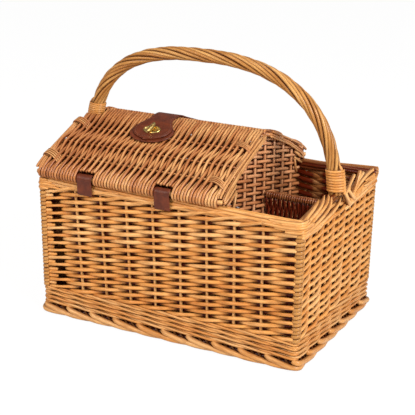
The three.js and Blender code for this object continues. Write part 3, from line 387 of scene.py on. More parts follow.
rods = [inner_ring(z, 11.5, 3.3) for z in FOOT_RING_LEVELS]
share = np.linspace(0, 1, 34)
# Each stroke has a little shade painted on all round, and the twigs tucked under it have more.
for k in range(ROUND_STAKES):
    s = k * ROUND_SPACING
    z = FOOT_LOW_Z + FOOT_DROP * (1 - share) ** 2.4
    depth = -0.4 + FOOT_TUCK * np.clip((share - 0.58) / 0.42, 0, 1) ** 1.3
    depth = depth + 4.0 * np.clip(1 - share / 0.07, 0, 1)
    points, out = round_body(s - 6 + FOOT_STROKE * share, z, depth)
    size = (FOOT_RADIUS + vary(-0.25, 0.2)) * (1 - 0.12 * share)
    tone = vary(0, 0.5)
    rods.append(rod(points, size, tone=tone, out=out, proud=1, edge=0.6, dust=0.17))
    for quarter in range(4):
        keys = np.add(FOOT_TWIG, (s + quarter * ROUND_SPACING / 4, 0, 0))
        rods.append(round_rod(keys, FOOT_TWIG_RADIUS, dust=0.7))
fit_rods("foot_border_rods", rods, "foot_border")

# Bottom wale: bands of three weavers each that pass before two stakes and behind one, which
# set the upright stakes firmly before the sides are woven.
WALE_TOP = 48.0
WALE_BANDS = 4
WALE_RADIUS = 2.15
WALE_LEVELS = (0.31, -0.27, 0.0)
WALE_DEPTHS = (2.2, 3.0, 9.5)
WALE_PROUD = (1, 1, -1)
WALE_RING_LEVELS = (19.5, 24.5, 29.5, 34.5, 39.5, 44.5)

rods = [inner_ring(z, 11.0, 3.0) for z in WALE_RING_LEVELS]
band = (WALE_TOP - FOOT_TOP) / WALE_BANDS
# Where a weaver passes behind a stake, shade is painted on it, and every weaver has a little shade painted
# all round.
for m in range(WALE_BANDS):
    level = FOOT_TOP + band * (m + 0.5)
    for j in range(3):
        keys, proud = [], []
        for k in range(ROUND_STAKES + 1):
            phase = (k + j + m) % 3
            height = level + WALE_LEVELS[phase] * band + vary(-0.25, 0.25)
            keys.append((k * ROUND_SPACING, height, WALE_DEPTHS[phase]))
            proud.append(WALE_PROUD[phase])
            if phase == 0:
                keys.append(((k + 0.5) * ROUND_SPACING, level + vary(-0.3, 0.3), 2.0))
                proud.append(1)
        size = WALE_RADIUS + vary(-0.15, 0.25)
        tone = vary(0.05, 0.75)
        rods.append(round_rod(keys, size, steps=8, proud=proud, tone=tone, edge=0.6, dust=0.12))
fit_rods("bottom_wale_rods", rods, "bottom_wale")

# The four walls: upright stakes with rods worked before one and behind the next. Each rod
# starts a space further on and climbs one row at every stake, so its strokes lie in step.
WALL_TOP = 219.0
ROW = 6.25
WEAVER_RADIUS = 3.25
STAKE_RADIUS = 2.6
WALL_MIDDLE = 7.4
SWING = 4.5
SAG = 1.0
WEAVER_FLAT = 0.86
GAP_HALF = 6.6
FRONT_SHIFT = 1.5
FRONT_LEAN = 5.0
FRONT_FAN_OUT = 0.025
LONG_START = -196.1
LONG_SPACING = 45.3
LONG_STAKES = 9
LONG_SIDE = {"start": LONG_START, "stakes": LONG_STAKES, "spacing": LONG_SPACING, "ends": (-219.0, 219.0)}
SHORT_SIDE = {"start": -132.0, "stakes": 7, "spacing": STAKE_SPACING, "ends": (-145.0, 143.0)}
FAR_WEAVE = {"row": 6.0, "weaver": 4.4, "swing": 2.6, "sag": -0.25}


# Wall woven between two heights; place gives a point from distance along, height and depth.
# At a gap the rods that would pass behind the stake end, and the stake itself is left out.
def woven_wall(solid, place, top, first, start, stakes, spacing, ends, low=WALE_TOP, row=ROW,
               weaver=WEAVER_RADIUS, stake=STAKE_RADIUS, middle=WALL_MIDDLE, swing=SWING, sag=SAG,
               gap=None, climb=1, **finish):
    rods = []
    for k in range(stakes):
        s = start + k * spacing
        if gap is not None and abs(s - gap) < spacing / 2:
            continue
        z = np.linspace(low - 3, float(top(s)) - 1, 14)
        points, out = place(np.full_like(z, s), z, np.full_like(z, middle))
        size = stake + vary(-0.1, 0.25)
        rods.append(rod(points, size, tone=vary(0, 0.35), out=out, proud=-0.15))
    highest = max(float(top(s)) for s in np.linspace(*ends, 41))
    s = np.linspace(*ends, int((ends[1] - ends[0]) / spacing * 9) + 1)
    at = (s - start) / spacing
    for n in range(-stakes - 3, int((highest - low) / row) + stakes + 4):
        stands = np.cos(math.pi * (n + at))
        z = low + row * (n + climb * at + first) + 0.5 * np.sin(0.9 * at + n * 2.4)
        z = z + vary(-0.35, 0.35) + sag * stands
        inside = (z > low - row * 0.6) & (z < top(s) + row * 0.3)
        if gap is not None:
            inside &= (np.abs(s - gap) > GAP_HALF + vary(-3, 2)) | (stands > 0)
            stands = np.where(s < gap, np.maximum(stands, 0.3), stands)
        depth = middle - swing * stands
        edges = np.flatnonzero(np.diff(np.concatenate([[0], inside.astype(int), [0]])))
        for a, b in zip(edges[::2], edges[1::2]):
            if b - a < 4:
                continue
            points, out = place(s[a:b], z[a:b], depth[a:b])
            size = weaver * (1 + vary(-0.09, 0.06)) * (1 + 0.05 * np.sin(at[a:b] * 1.7 + n))
            if gap is not None:
                size = size * (1 - 0.3 * np.exp(-((s[a:b] - gap) / 12) ** 2))
            # Where a rod passes behind a stake, shade is painted on it.
            look = {"tone": vary(0.0, 0.85), "flat": WEAVER_FLAT, "proud": stands[a:b], "edge": 0.36}
            rods.append(rod(points, size, out=out, **look))
    fit_rods(f"{solid}_weave", rods, solid, **finish)


# A wall by its side of the basket. The front stakes lean a little to the left at their tops.
def wall_place(side):
    turn = side * math.pi / 2
    forward = np.array([math.cos(turn), math.sin(turn), 0])
    outward = np.array([math.sin(turn), -math.cos(turn), 0])
    far, near = ((1, 0), (0, 1))[side % 2]

    def place(s, z, depth):
        halves = half_at(z)
        s = s * halves[near] / RIM_HALF[near]
        if side == 0:
            rise = np.clip((z - WALE_TOP) / (WALL_TOP - WALE_TOP), 0, 1)
            inner = np.clip((RIM_HALF[0] - 10 - np.abs(s)) / 40, 0, 1)
            s = s - (FRONT_SHIFT + rise * (FRONT_LEAN - FRONT_FAN_OUT * s)) * inner
        points = s[:, None] * forward + (halves[far] - depth)[:, None] * outward
        points[:, 2] = z
        return points, np.broadcast_to(outward, points.shape)

    return place


def front_top(s):
    return WALL_TOP


def back_top(s):
    return WALL_TOP + 5


def right_top(s):
    return WALL_TOP - 9 * (1 - np.abs(s) / RIM_HALF[1]) + 5 * (s > 15)


woven_wall("front_wall", wall_place(0), front_top, 0.3, **LONG_SIDE, stake=2.3, gap=LONG_START + 4)
woven_wall("back_wall", wall_place(2), back_top, 0.6, **LONG_SIDE, **FAR_WEAVE)
woven_wall("right_wall", wall_place(1), right_top, 0.8, **SHORT_SIDE, row=5.95, stake=2.2)

# The lids' arch, which the two gables follow: a line from the hinge stick to the ridge, given
# as distance from the ridge plane and height. The left wall rises to it under the lids.
HINGE = (154.0, 243.0)
RIDGE = (7.1, 309.0)
ARCH = np.array([(157.0, 249.0), (149.0, 261.0), (95.1, 280.0), (7.1, 314.6)])
GABLE_UNDER = 5.5
GABLE_HIGHEST = 301.0
GABLE_START = 148.0


def arch_point(t, height=0.0):
    t = np.asarray(t, float)[..., None]
    a, b, c, d = ARCH
    p = (1 - t) ** 3 * a + 3 * t * (1 - t) ** 2 * b + 3 * t * t * (1 - t) * c + t ** 3 * d
    v = unit(3 * (1 - t) ** 2 * (b - a) + 6 * t * (1 - t) * (c - b) + 3 * t * t * (d - c))
    height = np.asarray(height, float)[..., None]
    return p + np.stack([v[..., 1], -v[..., 0]], -1) * height


ARCH_SHARES = np.linspace(0, 1, 400)
ARCH_LINE = arch_point(ARCH_SHARES)
GABLE_LINE = arch_point(ARCH_SHARES, -GABLE_UNDER)


def arch_share(distance):
    return np.interp(-np.asarray(distance, float), -ARCH_LINE[:, 0], ARCH_SHARES)


def gable_top(s):
    s = np.abs(np.asarray(s, float))
    height = np.interp(-s, -GABLE_LINE[:, 0], GABLE_LINE[:, 1])
    return np.where(s > GABLE_START, WALL_TOP, np.minimum(height, GABLE_HIGHEST))


woven_wall("left_wall", wall_place(3), gable_top, 0.1, **SHORT_SIDE, **FAR_WEAVE)

# Corner posts: a thick upright at each corner that both walls are worked round. The weavers'
# ends wrap it, so it shows as a column of close bands on the outside.
POST_WILLOW = willow("post_willow", (0.72, 0.38, 0.12), (0.60, 0.285, 0.075), (0.43, 0.17, 0.036))
POST_INSET = 7.4
POST_RADIUS = 5.0
BAND_RADIUS = 3.2
BAND_REACH = math.radians(93)
BAND_OUT = 5.4
BAND_SLANT = 1.4
POSTS = (("front_right", 1, -1), ("back_right", 1, 1), ("back_left", -1, 1), ("front_left", -1, -1))


def post_line(z, sx, sy):
    hx, hy = half_at(z)
    return xyz(sx * (hx - POST_INSET), sy * (hy - POST_INSET), z)


for name, sx, sy in POSTS:
    z = np.linspace(WALE_TOP - 4, WALL_TOP + 2, 12)
    rods = [rod(post_line(z, sx, sy), POST_RADIUS, out=(sx, sy, 0))]
    middle = math.atan2(sy, sx)
    for j in range(int((WALL_TOP - WALE_TOP) / ROW) + 1):
        height = WALE_TOP + ROW * (j + 0.35) + vary(-0.5, 0.5)
        reach = BAND_REACH + vary(-0.1, 0.1)
        a = np.linspace(middle - reach, middle + reach, 15)
        outward = xyz(np.cos(a), np.sin(a), 0)
        points = post_line(height, sx, sy) + outward * BAND_OUT
        points[:, 2] += np.linspace(-BAND_SLANT, BAND_SLANT, 15)
        tone = vary(0.3, 0.85)
        size = BAND_RADIUS * vary(0.98, 1.06)
        rods.append(rod(points, size, tone=tone, out=outward, flat=0.6, proud=1, edge=1.1))
    fit_rods(f"corner_post_{name}_bands", rods, f"corner_post_{name}", material=POST_WILLOW)

# Top border: the stakes' upper ends laid down along the rim in long overlapping rods, eight
# side by side, each rising slowly from the outer face to the top and tucked in behind.
BORDER_CENTRE = (226.5, 8.0)
BORDER_SWING = (5.848, 5.184)
BORDER_ROD = 3.15
BORDER_LAY = 8
BORDER_TURN = -2.2
CORNER_LOWEST = (218.0, 218.0, 215.4, 215.4)


# Rods that run along a border and turn slowly about its middle, out of the wall first
def border_rods(length, place, raised=0.0, corner=0.0, dust=0.0):
    rods = []
    s = np.linspace(-length, length, 60)
    level = BORDER_CENTRE[0] + raised + corner * np.clip((-s - 130) / 95, 0, 1)
    middle, _ = place(s, level, BORDER_CENTRE[1] + 0 * s)
    for i in range(BORDER_LAY):
        a = 2 * math.pi * i / BORDER_LAY + 0.2 + BORDER_TURN * s / (2 * length)
        a = a + 0.09 * np.sin(s * 0.03 + i)
        z = level + BORDER_SWING[0] * np.sin(a)
        points, _ = place(s, z, BORDER_CENTRE[1] - BORDER_SWING[1] * np.cos(a))
        size = BORDER_ROD * (1 + 0.10 * np.sin(s * 0.021 + i * 2.1))
        # Painted shade, strongest on the side that faces into the basket
        shaded = dust * (0.55 - 0.45 * np.cos(a))
        rods.append(rod(points, size, out=points - middle, dust=shaded, edge=0.75, inner=0.45))
    return rods


# The rods' ends that turn a corner of the rim, the corners counted from the front right one
def corner_turns(corner):
    rods = []
    end = LONG_RUN * ((corner + 2) // 2) + SHORT_RUN * ((corner + 1) // 2) + CORNER_RUN * corner
    for i in range(5):
        s = np.linspace(end - 18 - 9 * (2 * i % 5), end + 26 + 7 * (3 * i % 4), 26)
        z = CORNER_LOWEST[corner] + 3.4 * i + 1.2 * np.sin((s - end) * 0.06)
        points, out = round_body(s, z, 0.4 + 1.2 * (i % 2) + 1.6 * (i > 3))
        size = 2.8 - 1.2 * np.abs(np.linspace(-1, 1, 26)) ** 6
        rods.append(rod(points, size, tone=vary(0.2, 0.7), out=out, edge=0.9, inner=0.45))
    return rods


rods = border_rods(RIM_HALF[0] - 6, wall_place(0)) + corner_turns(0) + corner_turns(3)
share = np.linspace(0, 1, 22)
for k in range(LONG_STAKES):
    for j in range(2):
        s = LONG_START + LONG_SPACING * k + 9 * j + 72 * share
        z = 211.0 + 2.0 * j + (17.0 - 1.5 * j) * np.sin(share * 1.45)
        if s[-1] < RIM_HALF[0] - 8:
            points, out = wall_place(0)(s, z, 4.6 - 3.2 * np.sin(share * 2.2))
            size = 2.6 * (1 - 0.35 * share)
            rods.append(rod(points, size, tone=vary(0.1, 0.6), out=out, edge=0.6))
fit_rods("border_front_rods", rods, "border_front")
# The back border has shade painted on its inner face.
rods = border_rods(RIM_HALF[0] + 1, wall_place(2), raised=2.5, corner=4.2, dust=0.95)
rods += corner_turns(1) + corner_turns(2)
fit_rods("border_back_rods", rods, "border_back")

# Right border: from the front corner its rods fan up against the handle's foot and end there.
# Beyond the foot they run on to the back corner, with slanting cut ends and two leaning rods
# between, and packing rods behind them in darker tones with shade painted on them.
FRONT_FAN = (
    (2.2, (-152, 211), (-100, 212), (-50, 215), (-14, 220), (2, 229)),
    (2.8, (-152, 215), (-105, 217), (-66, 222), (-44, 228), (-37, 240)),
    (3.6, (-152, 219), (-96, 228), (-70, 233), (-55, 238), (-48, 247)),
    (5.0, (-152, 224), (-118, 230), (-90, 234), (-72, 240), (-61, 249)),
    (7.0, (-152, 228), (-125, 235), (-100, 240), (-78, 246)),
    (12.0, (-152, 229), (-120, 232), (-80, 236), (-60, 240)),
    (15.0, (-150, 224), (-110, 229), (-72, 233)),
    (9.0, (-152, 216), (-110, 219), (-40, 222), (10, 219)),
)
BACK_RUN = (
    (2.6, (14, 208), (60, 211), (152, 217)),
    (3.0, (26, 212), (70, 217), (152, 223)),
    (4.0, (44, 217), (92, 224), (152, 230)),
    (5.6, (60, 224), (94, 233), (129, 238), (152, 237)),
    (9.5, (30, 219), (90, 227), (152, 235)),
    (13.0, (50, 224), (100, 230), (152, 233)),
    (10.0, (10, 214), (80, 219), (152, 226)),
)
LEANING = (
    (0.4, (25, 213), (17, 223), (10, 232), (7, 237)),
    (0.6, (48, 215), (39, 222), (31, 229), (26, 234)),
)
CUT_ENDS = (
    (5.0, (22, 231), (36, 241), (53, 252)),
    (3.4, (38, 215), (60, 230), (75, 253)),
    (7.5, (60, 226), (79, 235), (102, 243)),
)
PACKING = (
    (12.5, (-66, 222), (-30, 227), (10, 228), (50, 222)),
    (12.5, (-58, 229), (-28, 233), (4, 233), (30, 228)),
)


# Rods laid along the right rim: depth, then places of distance and height
def laid(rods, radius, feather, darkest, tuck=0.0, dust=0.0):
    made = []
    for depth, *places in rods:
        s, z = between(places, 9 * (len(places) - 1) + 1, 9)
        share = np.linspace(0, 1, len(s))
        points, out = wall_place(1)(s, z, depth + tuck * share ** 2)
        size = radius * vary(0.82, 1.08) * (1 - feather * share ** 6)
        tone = vary(0, darkest)
        made.append(rod(points, size, tone=tone, out=out, edge=0.8, inner=0.35, dust=dust))
    return made


rods = laid(FRONT_FAN, 3.5, 0.7, 0.45, tuck=3.0) + laid(BACK_RUN, 3.4, 0.0, 0.45)
rods += laid(LEANING, 3.9, 0.3, 0.1, tuck=3.0) + laid(CUT_ENDS, 3.3, 0.1, 0.3)
# The packing rods have shade painted on them all round.
rods += laid(PACKING, 4.0, 0.2, 0.9, dust=0.75)
fit_rods("border_right_rods", rods, "border_right")

# Divider: a finer woven panel from the floor to the ridge, which shuts off the bottle bays and
# carries the lids' right end. A few rods follow its sloping edges from the rim to the ridge,
# and the ends of the last strokes are laid up against them.
LID_TONES = ((0.80, 0.43, 0.165), (0.57, 0.225, 0.072), (0.27, 0.075, 0.02))
# The lids' painted shade is a redder dark brown
LID_WILLOW = willow("lid_willow", *LID_TONES, roughness=0.32, painted_shade_tint=(0.20, 0.045, 0.016))
LID_LOOK = {"slot": "willow_lid", "material": LID_WILLOW}
DIVIDER_TONES = ((0.80, 0.41, 0.20), (0.64, 0.265, 0.105), (0.40, 0.13, 0.04))
DIVIDER_WILLOW = willow("divider_willow", *DIVIDER_TONES)
DIVIDER_X = 93.0
DIVIDER_SIDE = {"start": -137, "stakes": 8, "spacing": 35.0, "ends": (-137, 137), "low": 17}
DIVIDER_WEAVE = {"row": 7.3, "weaver": 2.7, "stake": 2.5, "middle": 5.5, "swing": 3.0, "sag": 0.9}
EDGE_LOW = ((147, 243), (142, 249), (135, 254), (112, 266))
EDGE_HIGH = (88, 60, 36, 10)
EDGE_UNDER = 3.6
CORNER_STROKES = (
    ((146, 239), (128, 247), (109, 258)),
    ((138, 233), (124, 240), (108, 249)),
    ((118, 222), (113, 232), (108, 246)),
)


def divider_place(s, z, depth):
    return xyz(DIVIDER_X + 5.5 - depth, s, z), xyz(1.0 + 0 * s, 0, 0)


def divider_top(s):
    return gable_top(np.abs(s) + 1)


woven_wall("divider", divider_place, divider_top, 0.2, **DIVIDER_SIDE, **DIVIDER_WEAVE, climb=-1,
           slot="willow_lid", material=DIVIDER_WILLOW)
rods = []
for side in (-1, 1):
    for i in range(3):
        high_end = tuple(tuple(arch_point(arch_share(d), -EDGE_UNDER)) for d in EDGE_HIGH)
        y, z = between(EDGE_LOW + high_end, 45, 7)
        x = DIVIDER_X + 6.2 - 2.5 * (i == 2)
        points = xyz(x, side * y, z - 3.4 * (i == 1))
        rods.append(rod(points, 2.0, tone=vary(0, 0.4), out=(1, 0, 0)))
    for stroke in CORNER_STROKES:
        y, z = np.array(stroke, float).T
        points = xyz(DIVIDER_X + 6.5, side * y, z)
        rods.append(rod(points, 2.1, tone=vary(0, 0.3), out=(1, 0, 0), edge=0.5))
fit_rods("divider_edge_rods", rods, None, **LID_LOOK, sides=7)

# Partition between the bottle bays: thin weavers that hang down both sides of a rail, with the
# rail's wrapping on the top edge. Its sticks, weavers, rail and wrapping have shade painted on them.
PARTITION_SPAN = (99.0, 208.0)
PARTITION_STICKS = (34, 70, 106, 142, 178)
PARTITION_SWING = 2.0
PARTITION_PITCH = 3.9
PARTITION_RADIUS = 1.95
PARTITION_PAINTED_SHADE = 0.93
RAIL_Z = 215.0
RAIL_RADIUS = 3.2
WRAP_RADIUS = 1.75
WRAP_PAINTED_SHADE = 0.7066
WRAP_OUT = RAIL_RADIUS + 1.0
weaver_places = []
for i in range(int((PARTITION_SPAN[1] - PARTITION_SPAN[0]) / PARTITION_PITCH)):
    weaver_places.append(PARTITION_SPAN[0] + PARTITION_PITCH * (i + 0.5))

rods = []
for z in PARTITION_STICKS:
    rods.append(rod(straight(PARTITION_SPAN[0], PARTITION_SPAN[1] - 2, 0, z), 1.6, dust=0.95))
for i, x in enumerate(weaver_places):
    z = np.linspace(16, RAIL_Z - 4, 30)
    swing = PARTITION_SWING * np.cos(math.pi * ((z - PARTITION_STICKS[0]) / 36 + i))
    rods.append(rod(xyz(x, swing, z), PARTITION_RADIUS, out=(0, 1, 0), dust=PARTITION_PAINTED_SHADE))
fit_rods("bottle_partition_weave", rods, "bottle_partition", material=LID_WILLOW, sides=6)
rods = [rod(straight(*PARTITION_SPAN, 0, RAIL_Z), RAIL_RADIUS, dust=0.6)]
for x in weaver_places:
    a = np.linspace(0, 2 * math.pi, 15)
    ring = xyz(x + 0.3 * a, WRAP_OUT * np.sin(a), RAIL_Z + WRAP_OUT * np.cos(a))
    rods.append(rod(ring, WRAP_RADIUS, out=ring - (x, 0, RAIL_Z), dust=WRAP_PAINTED_SHADE))
fit_rods("partition_rail_wrapping", rods, "partition_rail", material=LID_WILLOW, sides=6)

# Bow handle: ten willow rods laid side by side round a core in a slow twist, bent into a high
# arch, with its legs pushed down into the end walls.
HANDLE_HALF_SPAN = 215.5
HANDLE_BASE = 233.0
HANDLE_RISE = 190.5
HANDLE_SIDE_POWER = 2.48
HANDLE_TOP_POWER = 2.7
HANDLE_LEAN = 0.098
HANDLE_CORE_RADIUS = 6.0
HANDLE_RODS = 10
HANDLE_ROD_RADIUS = 2.95
HANDLE_LAY_RADIUS = 8.0
HANDLE_TURNS = 2.6
HANDLE_LEG = 56.0
LEG_RADIUS = 5.2
LEFT_FOOT_Z = 300.7
RIGHT_FOOT_Z = 237.3
HANDLE_TONES = ((0.78, 0.43, 0.14), (0.56, 0.25, 0.06), (0.30, 0.10, 0.021))
HANDLE_WILLOW = willow("handle_willow", *HANDLE_TONES, roughness=0.3)


def handle_point(angle):
    across, up = np.cos(angle), np.abs(np.sin(angle))
    x = HANDLE_HALF_SPAN * np.sign(across) * np.abs(across) ** (2 / HANDLE_SIDE_POWER)
    rise = HANDLE_RISE * up ** (2 / HANDLE_TOP_POWER)
    return xyz(x - HANDLE_LEAN * rise, 0, HANDLE_BASE + rise)


# Points read off a line at other distances along it
def read_off(points, run, places):
    return np.stack([np.interp(places, run, column) for column in points.T], -1)


left_rise = (LEFT_FOOT_Z - HANDLE_BASE) / HANDLE_RISE
left_angle = math.pi - math.asin(left_rise ** (HANDLE_TOP_POWER / 2))
coarse = handle_point(np.linspace(0.0, left_angle, 4000))
coarse = coarse[coarse[:, 2] > RIGHT_FOOT_Z - 8]
run = run_along(coarse)
stations = np.linspace(0, run[-1], 150)
line = read_off(coarse, run, stations)
along = unit(np.gradient(line, axis=0))
across = xyz(along[:, 2], 0, -along[:, 0])
aside = np.array([0.0, 1.0, 0.0])
# The hidden core has shade painted on it, and the twisted rods have shade painted on their edges.
rods = [rod(line, HANDLE_CORE_RADIUS, tone=0.8, out=across, dust=0.8)]
for i in range(HANDLE_RODS):
    twist = 2 * math.pi * (i / HANDLE_RODS + HANDLE_TURNS * stations / run[-1])
    twist = twist + 0.10 * np.sin(stations * 0.011 + i * 1.7)
    outward = across * np.cos(twist)[:, None] + aside * np.sin(twist)[:, None]
    size = HANDLE_ROD_RADIUS * (1 + 0.07 * np.sin(stations * 0.013 + i * 2.9))
    tone = 0.12 + 0.62 * (3 * i % HANDLE_RODS) / HANDLE_RODS + vary(-0.1, 0.1)
    rods.append(rod(line + outward * HANDLE_LAY_RADIUS, size, tone=tone, out=outward, edge=1.8))
for foot in (line[0], line[-1]):
    leg = np.linspace(foot - (0, 0, HANDLE_LEG), foot, 3)
    rods.append(rod(leg, LEG_RADIUS, tone=0.8, out=(0, 1, 0)))
fit_rods("handle_rods", rods, "handle", slot="willow_handle", material=HANDLE_WILLOW)

# Bindings: split willow wound tightly round the handle's foot and the cut rod end beside it.
# Each is given by its leg, the side that the cut end is on, its two heights and its turns.
BINDING_OUT = 12.2
BINDING_ROOM = 3.8
RIGHT_LEG = line[: len(line) // 2]
LEFT_LEG = line[len(line) // 2:][::-1]
BINDINGS = (("right", RIGHT_LEG, 1, 238.0, 272.0, 8), ("left", LEFT_LEG, -1, 303.0, 325.0, 7))
for name, leg, side, low, high, turns in BINDINGS:
    rods = []
    for j in range(turns):
        a = np.linspace(-0.3, 2 * math.pi + 0.3, 40)
        z = low + (high - low) * (j + a / (2 * math.pi)) / turns
        cx = np.interp(z, leg[:, 2], leg[:, 0])
        grow = BINDING_OUT + BINDING_ROOM * np.clip(np.cos(a), 0, 1) ** 2
        points = xyz(cx + side * grow * np.cos(a), BINDING_OUT * np.sin(a), z)
        outward = xyz(side * np.cos(a), np.sin(a), 0)
        size = (high - low) / turns / 2 * 1.12
        rods.append(rod(points, size, tone=vary(0.4, 0.75), out=outward, flat=0.55, edge=0.9))
    fit_rods(f"binding_{name}_turns", rods, f"binding_{name}")
    z = np.linspace(low - 2, high + 9, 14)
    share = np.linspace(0, 1, 14)
    cx = np.interp(z, leg[:, 2], leg[:, 0]) + side * (13.8 - 4.5 * share ** 5)
    size = 3.4 - 2.4 * np.clip((share - 0.78) / 0.22, 0, 1) ** 2
    stub = rod(xyz(cx, -1, z), size, tone=0.3, out=(side, 0, 0), edge=0.7)
    fit_rods(f"bound_rod_{name}_end", [stub], f"bound_rod_{name}")

# Hinge loops: leather straps passed down through the wall under the border and up round each
# lid's hinge stick, sewn into a ring.
LOOP_WIDTH = 27.0
LOOP_THICKNESS = 2.0
LOOP_X = {"left": -137.0, "right": 1.0}
LOOP_NEAR, LOOP_FAR, LOOP_LOW = 138.7, 156.8, 217.7
LOOP_BEND = 2.0
LOOP_ROUND_STICK = 5.3
LEATHER_BEVEL = 0.9


# A roughness that goes from low to high with the clouds
def uneven(tree, cloud, low, high):
    return add_node(tree, "MapRange", {"Value": cloud, "To Min": low, "To Max": high}).outputs[0]


# Leather: fine pores in a cloudy brown, with a soft shine that varies a little
def leather(name, colour, deep, roughness=0.42):
    material, tree, shade = new_material(name)
    spot = add_node(tree, "TexCoord", {}).outputs["Object"]
    pores = add_node(tree, "TexVoronoi", {"Vector": spot, "Scale": 900}).outputs[0]
    cloud = clouds(tree, 70, 5)
    height = add_node(tree, "Math", {0: cloud, 1: 0.5, 2: pores}, operation="MULTIPLY_ADD")
    relief = {"Strength": 0.22, "Distance": 0.0004, "Height": height.outputs[0]}
    brown = colour_ramp(tree, cloud, (0.35, deep), (0.68, colour))
    feed(tree, shade, {"Base Color": brown, "Specular IOR Level": 0.32})
    feed(tree, shade, {"Normal": add_node(tree, "Bump", relief).outputs[0]})
    feed(tree, shade, {"Roughness": uneven(tree, cloud, roughness - 0.06, roughness + 0.12)})
    return material


LEATHER = leather("brown_leather", (0.165, 0.031, 0.008), (0.090, 0.016, 0.005))


# Turns a mesh that is being built into a piece, smooth but for ends of many corners
def built(name, mesh):
    bmesh.ops.recalc_face_normals(mesh, faces=mesh.faces)
    data = bpy.data.meshes.new(name)
    mesh.to_mesh(data)
    mesh.free()
    for face in data.polygons:
        face.use_smooth = len(face.vertices) == 4
    return placed(name, data)


# Joins rings of corners with faces, each ring to the next
def join_rings(mesh, rings):
    for a, b in zip(rings, rings[1:]):
        for j in range(len(a)):
            k = (j + 1) % len(a)
            mesh.faces.new((a[j], a[k], b[k], b[j]))


# A leather strip with bevelled edges: middle points, the way that its upper face looks, and
# half its width at each
def strip_mesh(name, points, normals, halves, thickness, closed=False, columns=9):
    halves = at_each(halves, len(points))
    mesh = bmesh.new()
    edge = min(thickness * 0.45, LEATHER_BEVEL)
    side_lift = 0.5 - edge / thickness
    face = [(u, -edge * (abs(u) == 1)) for u in np.linspace(-1, 1, columns)]
    loop = [(u, inset, 0.5) for u, inset in face] + [(1, 0.0, side_lift), (1, 0.0, -side_lift)]
    loop += [(u, inset, -0.5) for u, inset in reversed(face)] + [(-1, 0.0, -side_lift), (-1, 0.0, side_lift)]
    rings = []
    for p, n, h in zip(points, normals, halves):
        ring = []
        for u, inset, lift in loop:
            corner = p + np.array([u * (h + inset), 0, 0]) + n * lift * thickness
            ring.append(mesh.verts.new(corner * MM))
        rings.append(ring)
    join_rings(mesh, rings + rings[:1] if closed else rings)
    if not closed:
        for ring in (rings[0], rings[-1]):
            top, low = ring[:columns], ring[columns + 2: 2 * columns + 2][::-1]
            for j in range(columns - 1):
                mesh.faces.new((top[j], top[j + 1], low[j + 1], low[j]))
            mesh.faces.new(ring[columns - 1: columns + 3])
            mesh.faces.new(ring[2 * columns + 1:] + ring[:1])
    return built(name, mesh)


# Points on an arc from one angle to another, in degrees
def arc(centre, radius, first, last, count):
    angles = np.radians(np.linspace(first, last, count))
    return [(centre[0] + radius * math.cos(a), centre[1] + radius * math.sin(a)) for a in angles]


# A line of distance from the ridge plane and height, set at x on the front (-1) or back (1)
def on_side(x, line, side):
    return xyz(x, side * line[..., 0], line[..., 1])


loop_line = [(LOOP_NEAR + LOOP_BEND, LOOP_LOW), (LOOP_FAR - LOOP_BEND, LOOP_LOW)]
loop_line += arc((LOOP_FAR - LOOP_BEND, LOOP_LOW + LOOP_BEND), LOOP_BEND, -80, 0, 5)
loop_line += [(LOOP_FAR + 0.6, 227.0), (LOOP_FAR + 1.2, 234.0)]
loop_line += arc(HINGE, LOOP_ROUND_STICK, -20, 165, 16)
loop_line += [(143.5, 235.0), (LOOP_NEAR, 229.0)]
loop_line += arc((LOOP_NEAR + LOOP_BEND, LOOP_LOW + LOOP_BEND), LOOP_BEND, 180, 260, 5)
loop_line = np.array(loop_line)
forward = unit(np.roll(loop_line, -1, 0) - np.roll(loop_line, 1, 0))
for name, side in (("front", -1), ("back", 1)):
    outward = xyz(0, side * forward[:, 1], -forward[:, 0])
    for place_name, x in LOOP_X.items():
        points = on_side(x, loop_line, side) + outward * LOOP_THICKNESS / 2
        loop_name = f"hinge_loop_{name}_{place_name}"
        loop = strip_mesh(f"{loop_name}_strap", points, outward, LOOP_WIDTH / 2, LOOP_THICKNESS, closed=True)
        fit(loop, loop_name, material=LEATHER)

# Lids: hinge stick, three thin lengthwise sticks and ridge stick, with some sixty weavers
# turned round the hinge stick, over and under the sticks in turn, and round the ridge stick.
# Bent rods along each end hold the arch, and the sticks are lashed to them.
LID_SPAN = (-222.5, 94.1)
LID_ENDS = (-225.0, 97.0)
HINGE_STICK = 3.6
RIDGE_STICK = 3.4
LID_STICKS = (129.0, 95.0, 54.0)
LID_STICK = 1.7
FINE = 2.5
FINE_COUNT = 62
LID_WAVE = 3.1
LID_SWAY = [0, 0, 3.2, -0.6, 2.6, 0, 0]
LOOP_CLEAR = LOOP_WIDTH / 2 + 2.0
HANDLE_CLEAR = -191.0
LEG_CLEAR = (21.0, 263.0)
FLAP_X = -79.0
FLAP_HALF = 46.0
FLAP_REACH = 80.0
FLAP_FADE = 8.0
BOW_RADIUS = 1.9
BOWS = (("left", LID_ENDS[0], 1, 0.86), ("right", LID_ENDS[1], -1, 0.95))
TIES = (("1", 133.5), ("2", 49.0))
TIE_RADIUS = 1.5
TIE_SPACING = 3.7
TIE_START = ((31, -1.0), (26, 3.0), (19, 5.4), (12, 6.4))
TIE_TUCK = ((5, 6.4), (0.5, 4.6), (-2.4, 1.0), (-3.4, -3.0), (-2.0, -4.4))


# A weaver's line as distance, height and share of the arch. At a loop it starts above the stick.
def lid_line(start):
    line = []
    if start == 0.0:
        line += [(*p, 0) for p in arc(HINGE, HINGE_STICK + FINE, -165, 28, 13)]
    for t in np.linspace(max(start, 0.045), 0.965, 44):
        line.append((*arch_point(t), t))
    line += [(*p, 1) for p in arc(RIDGE, RIDGE_STICK + FINE, 88, 245, 9)]
    return np.array(line)


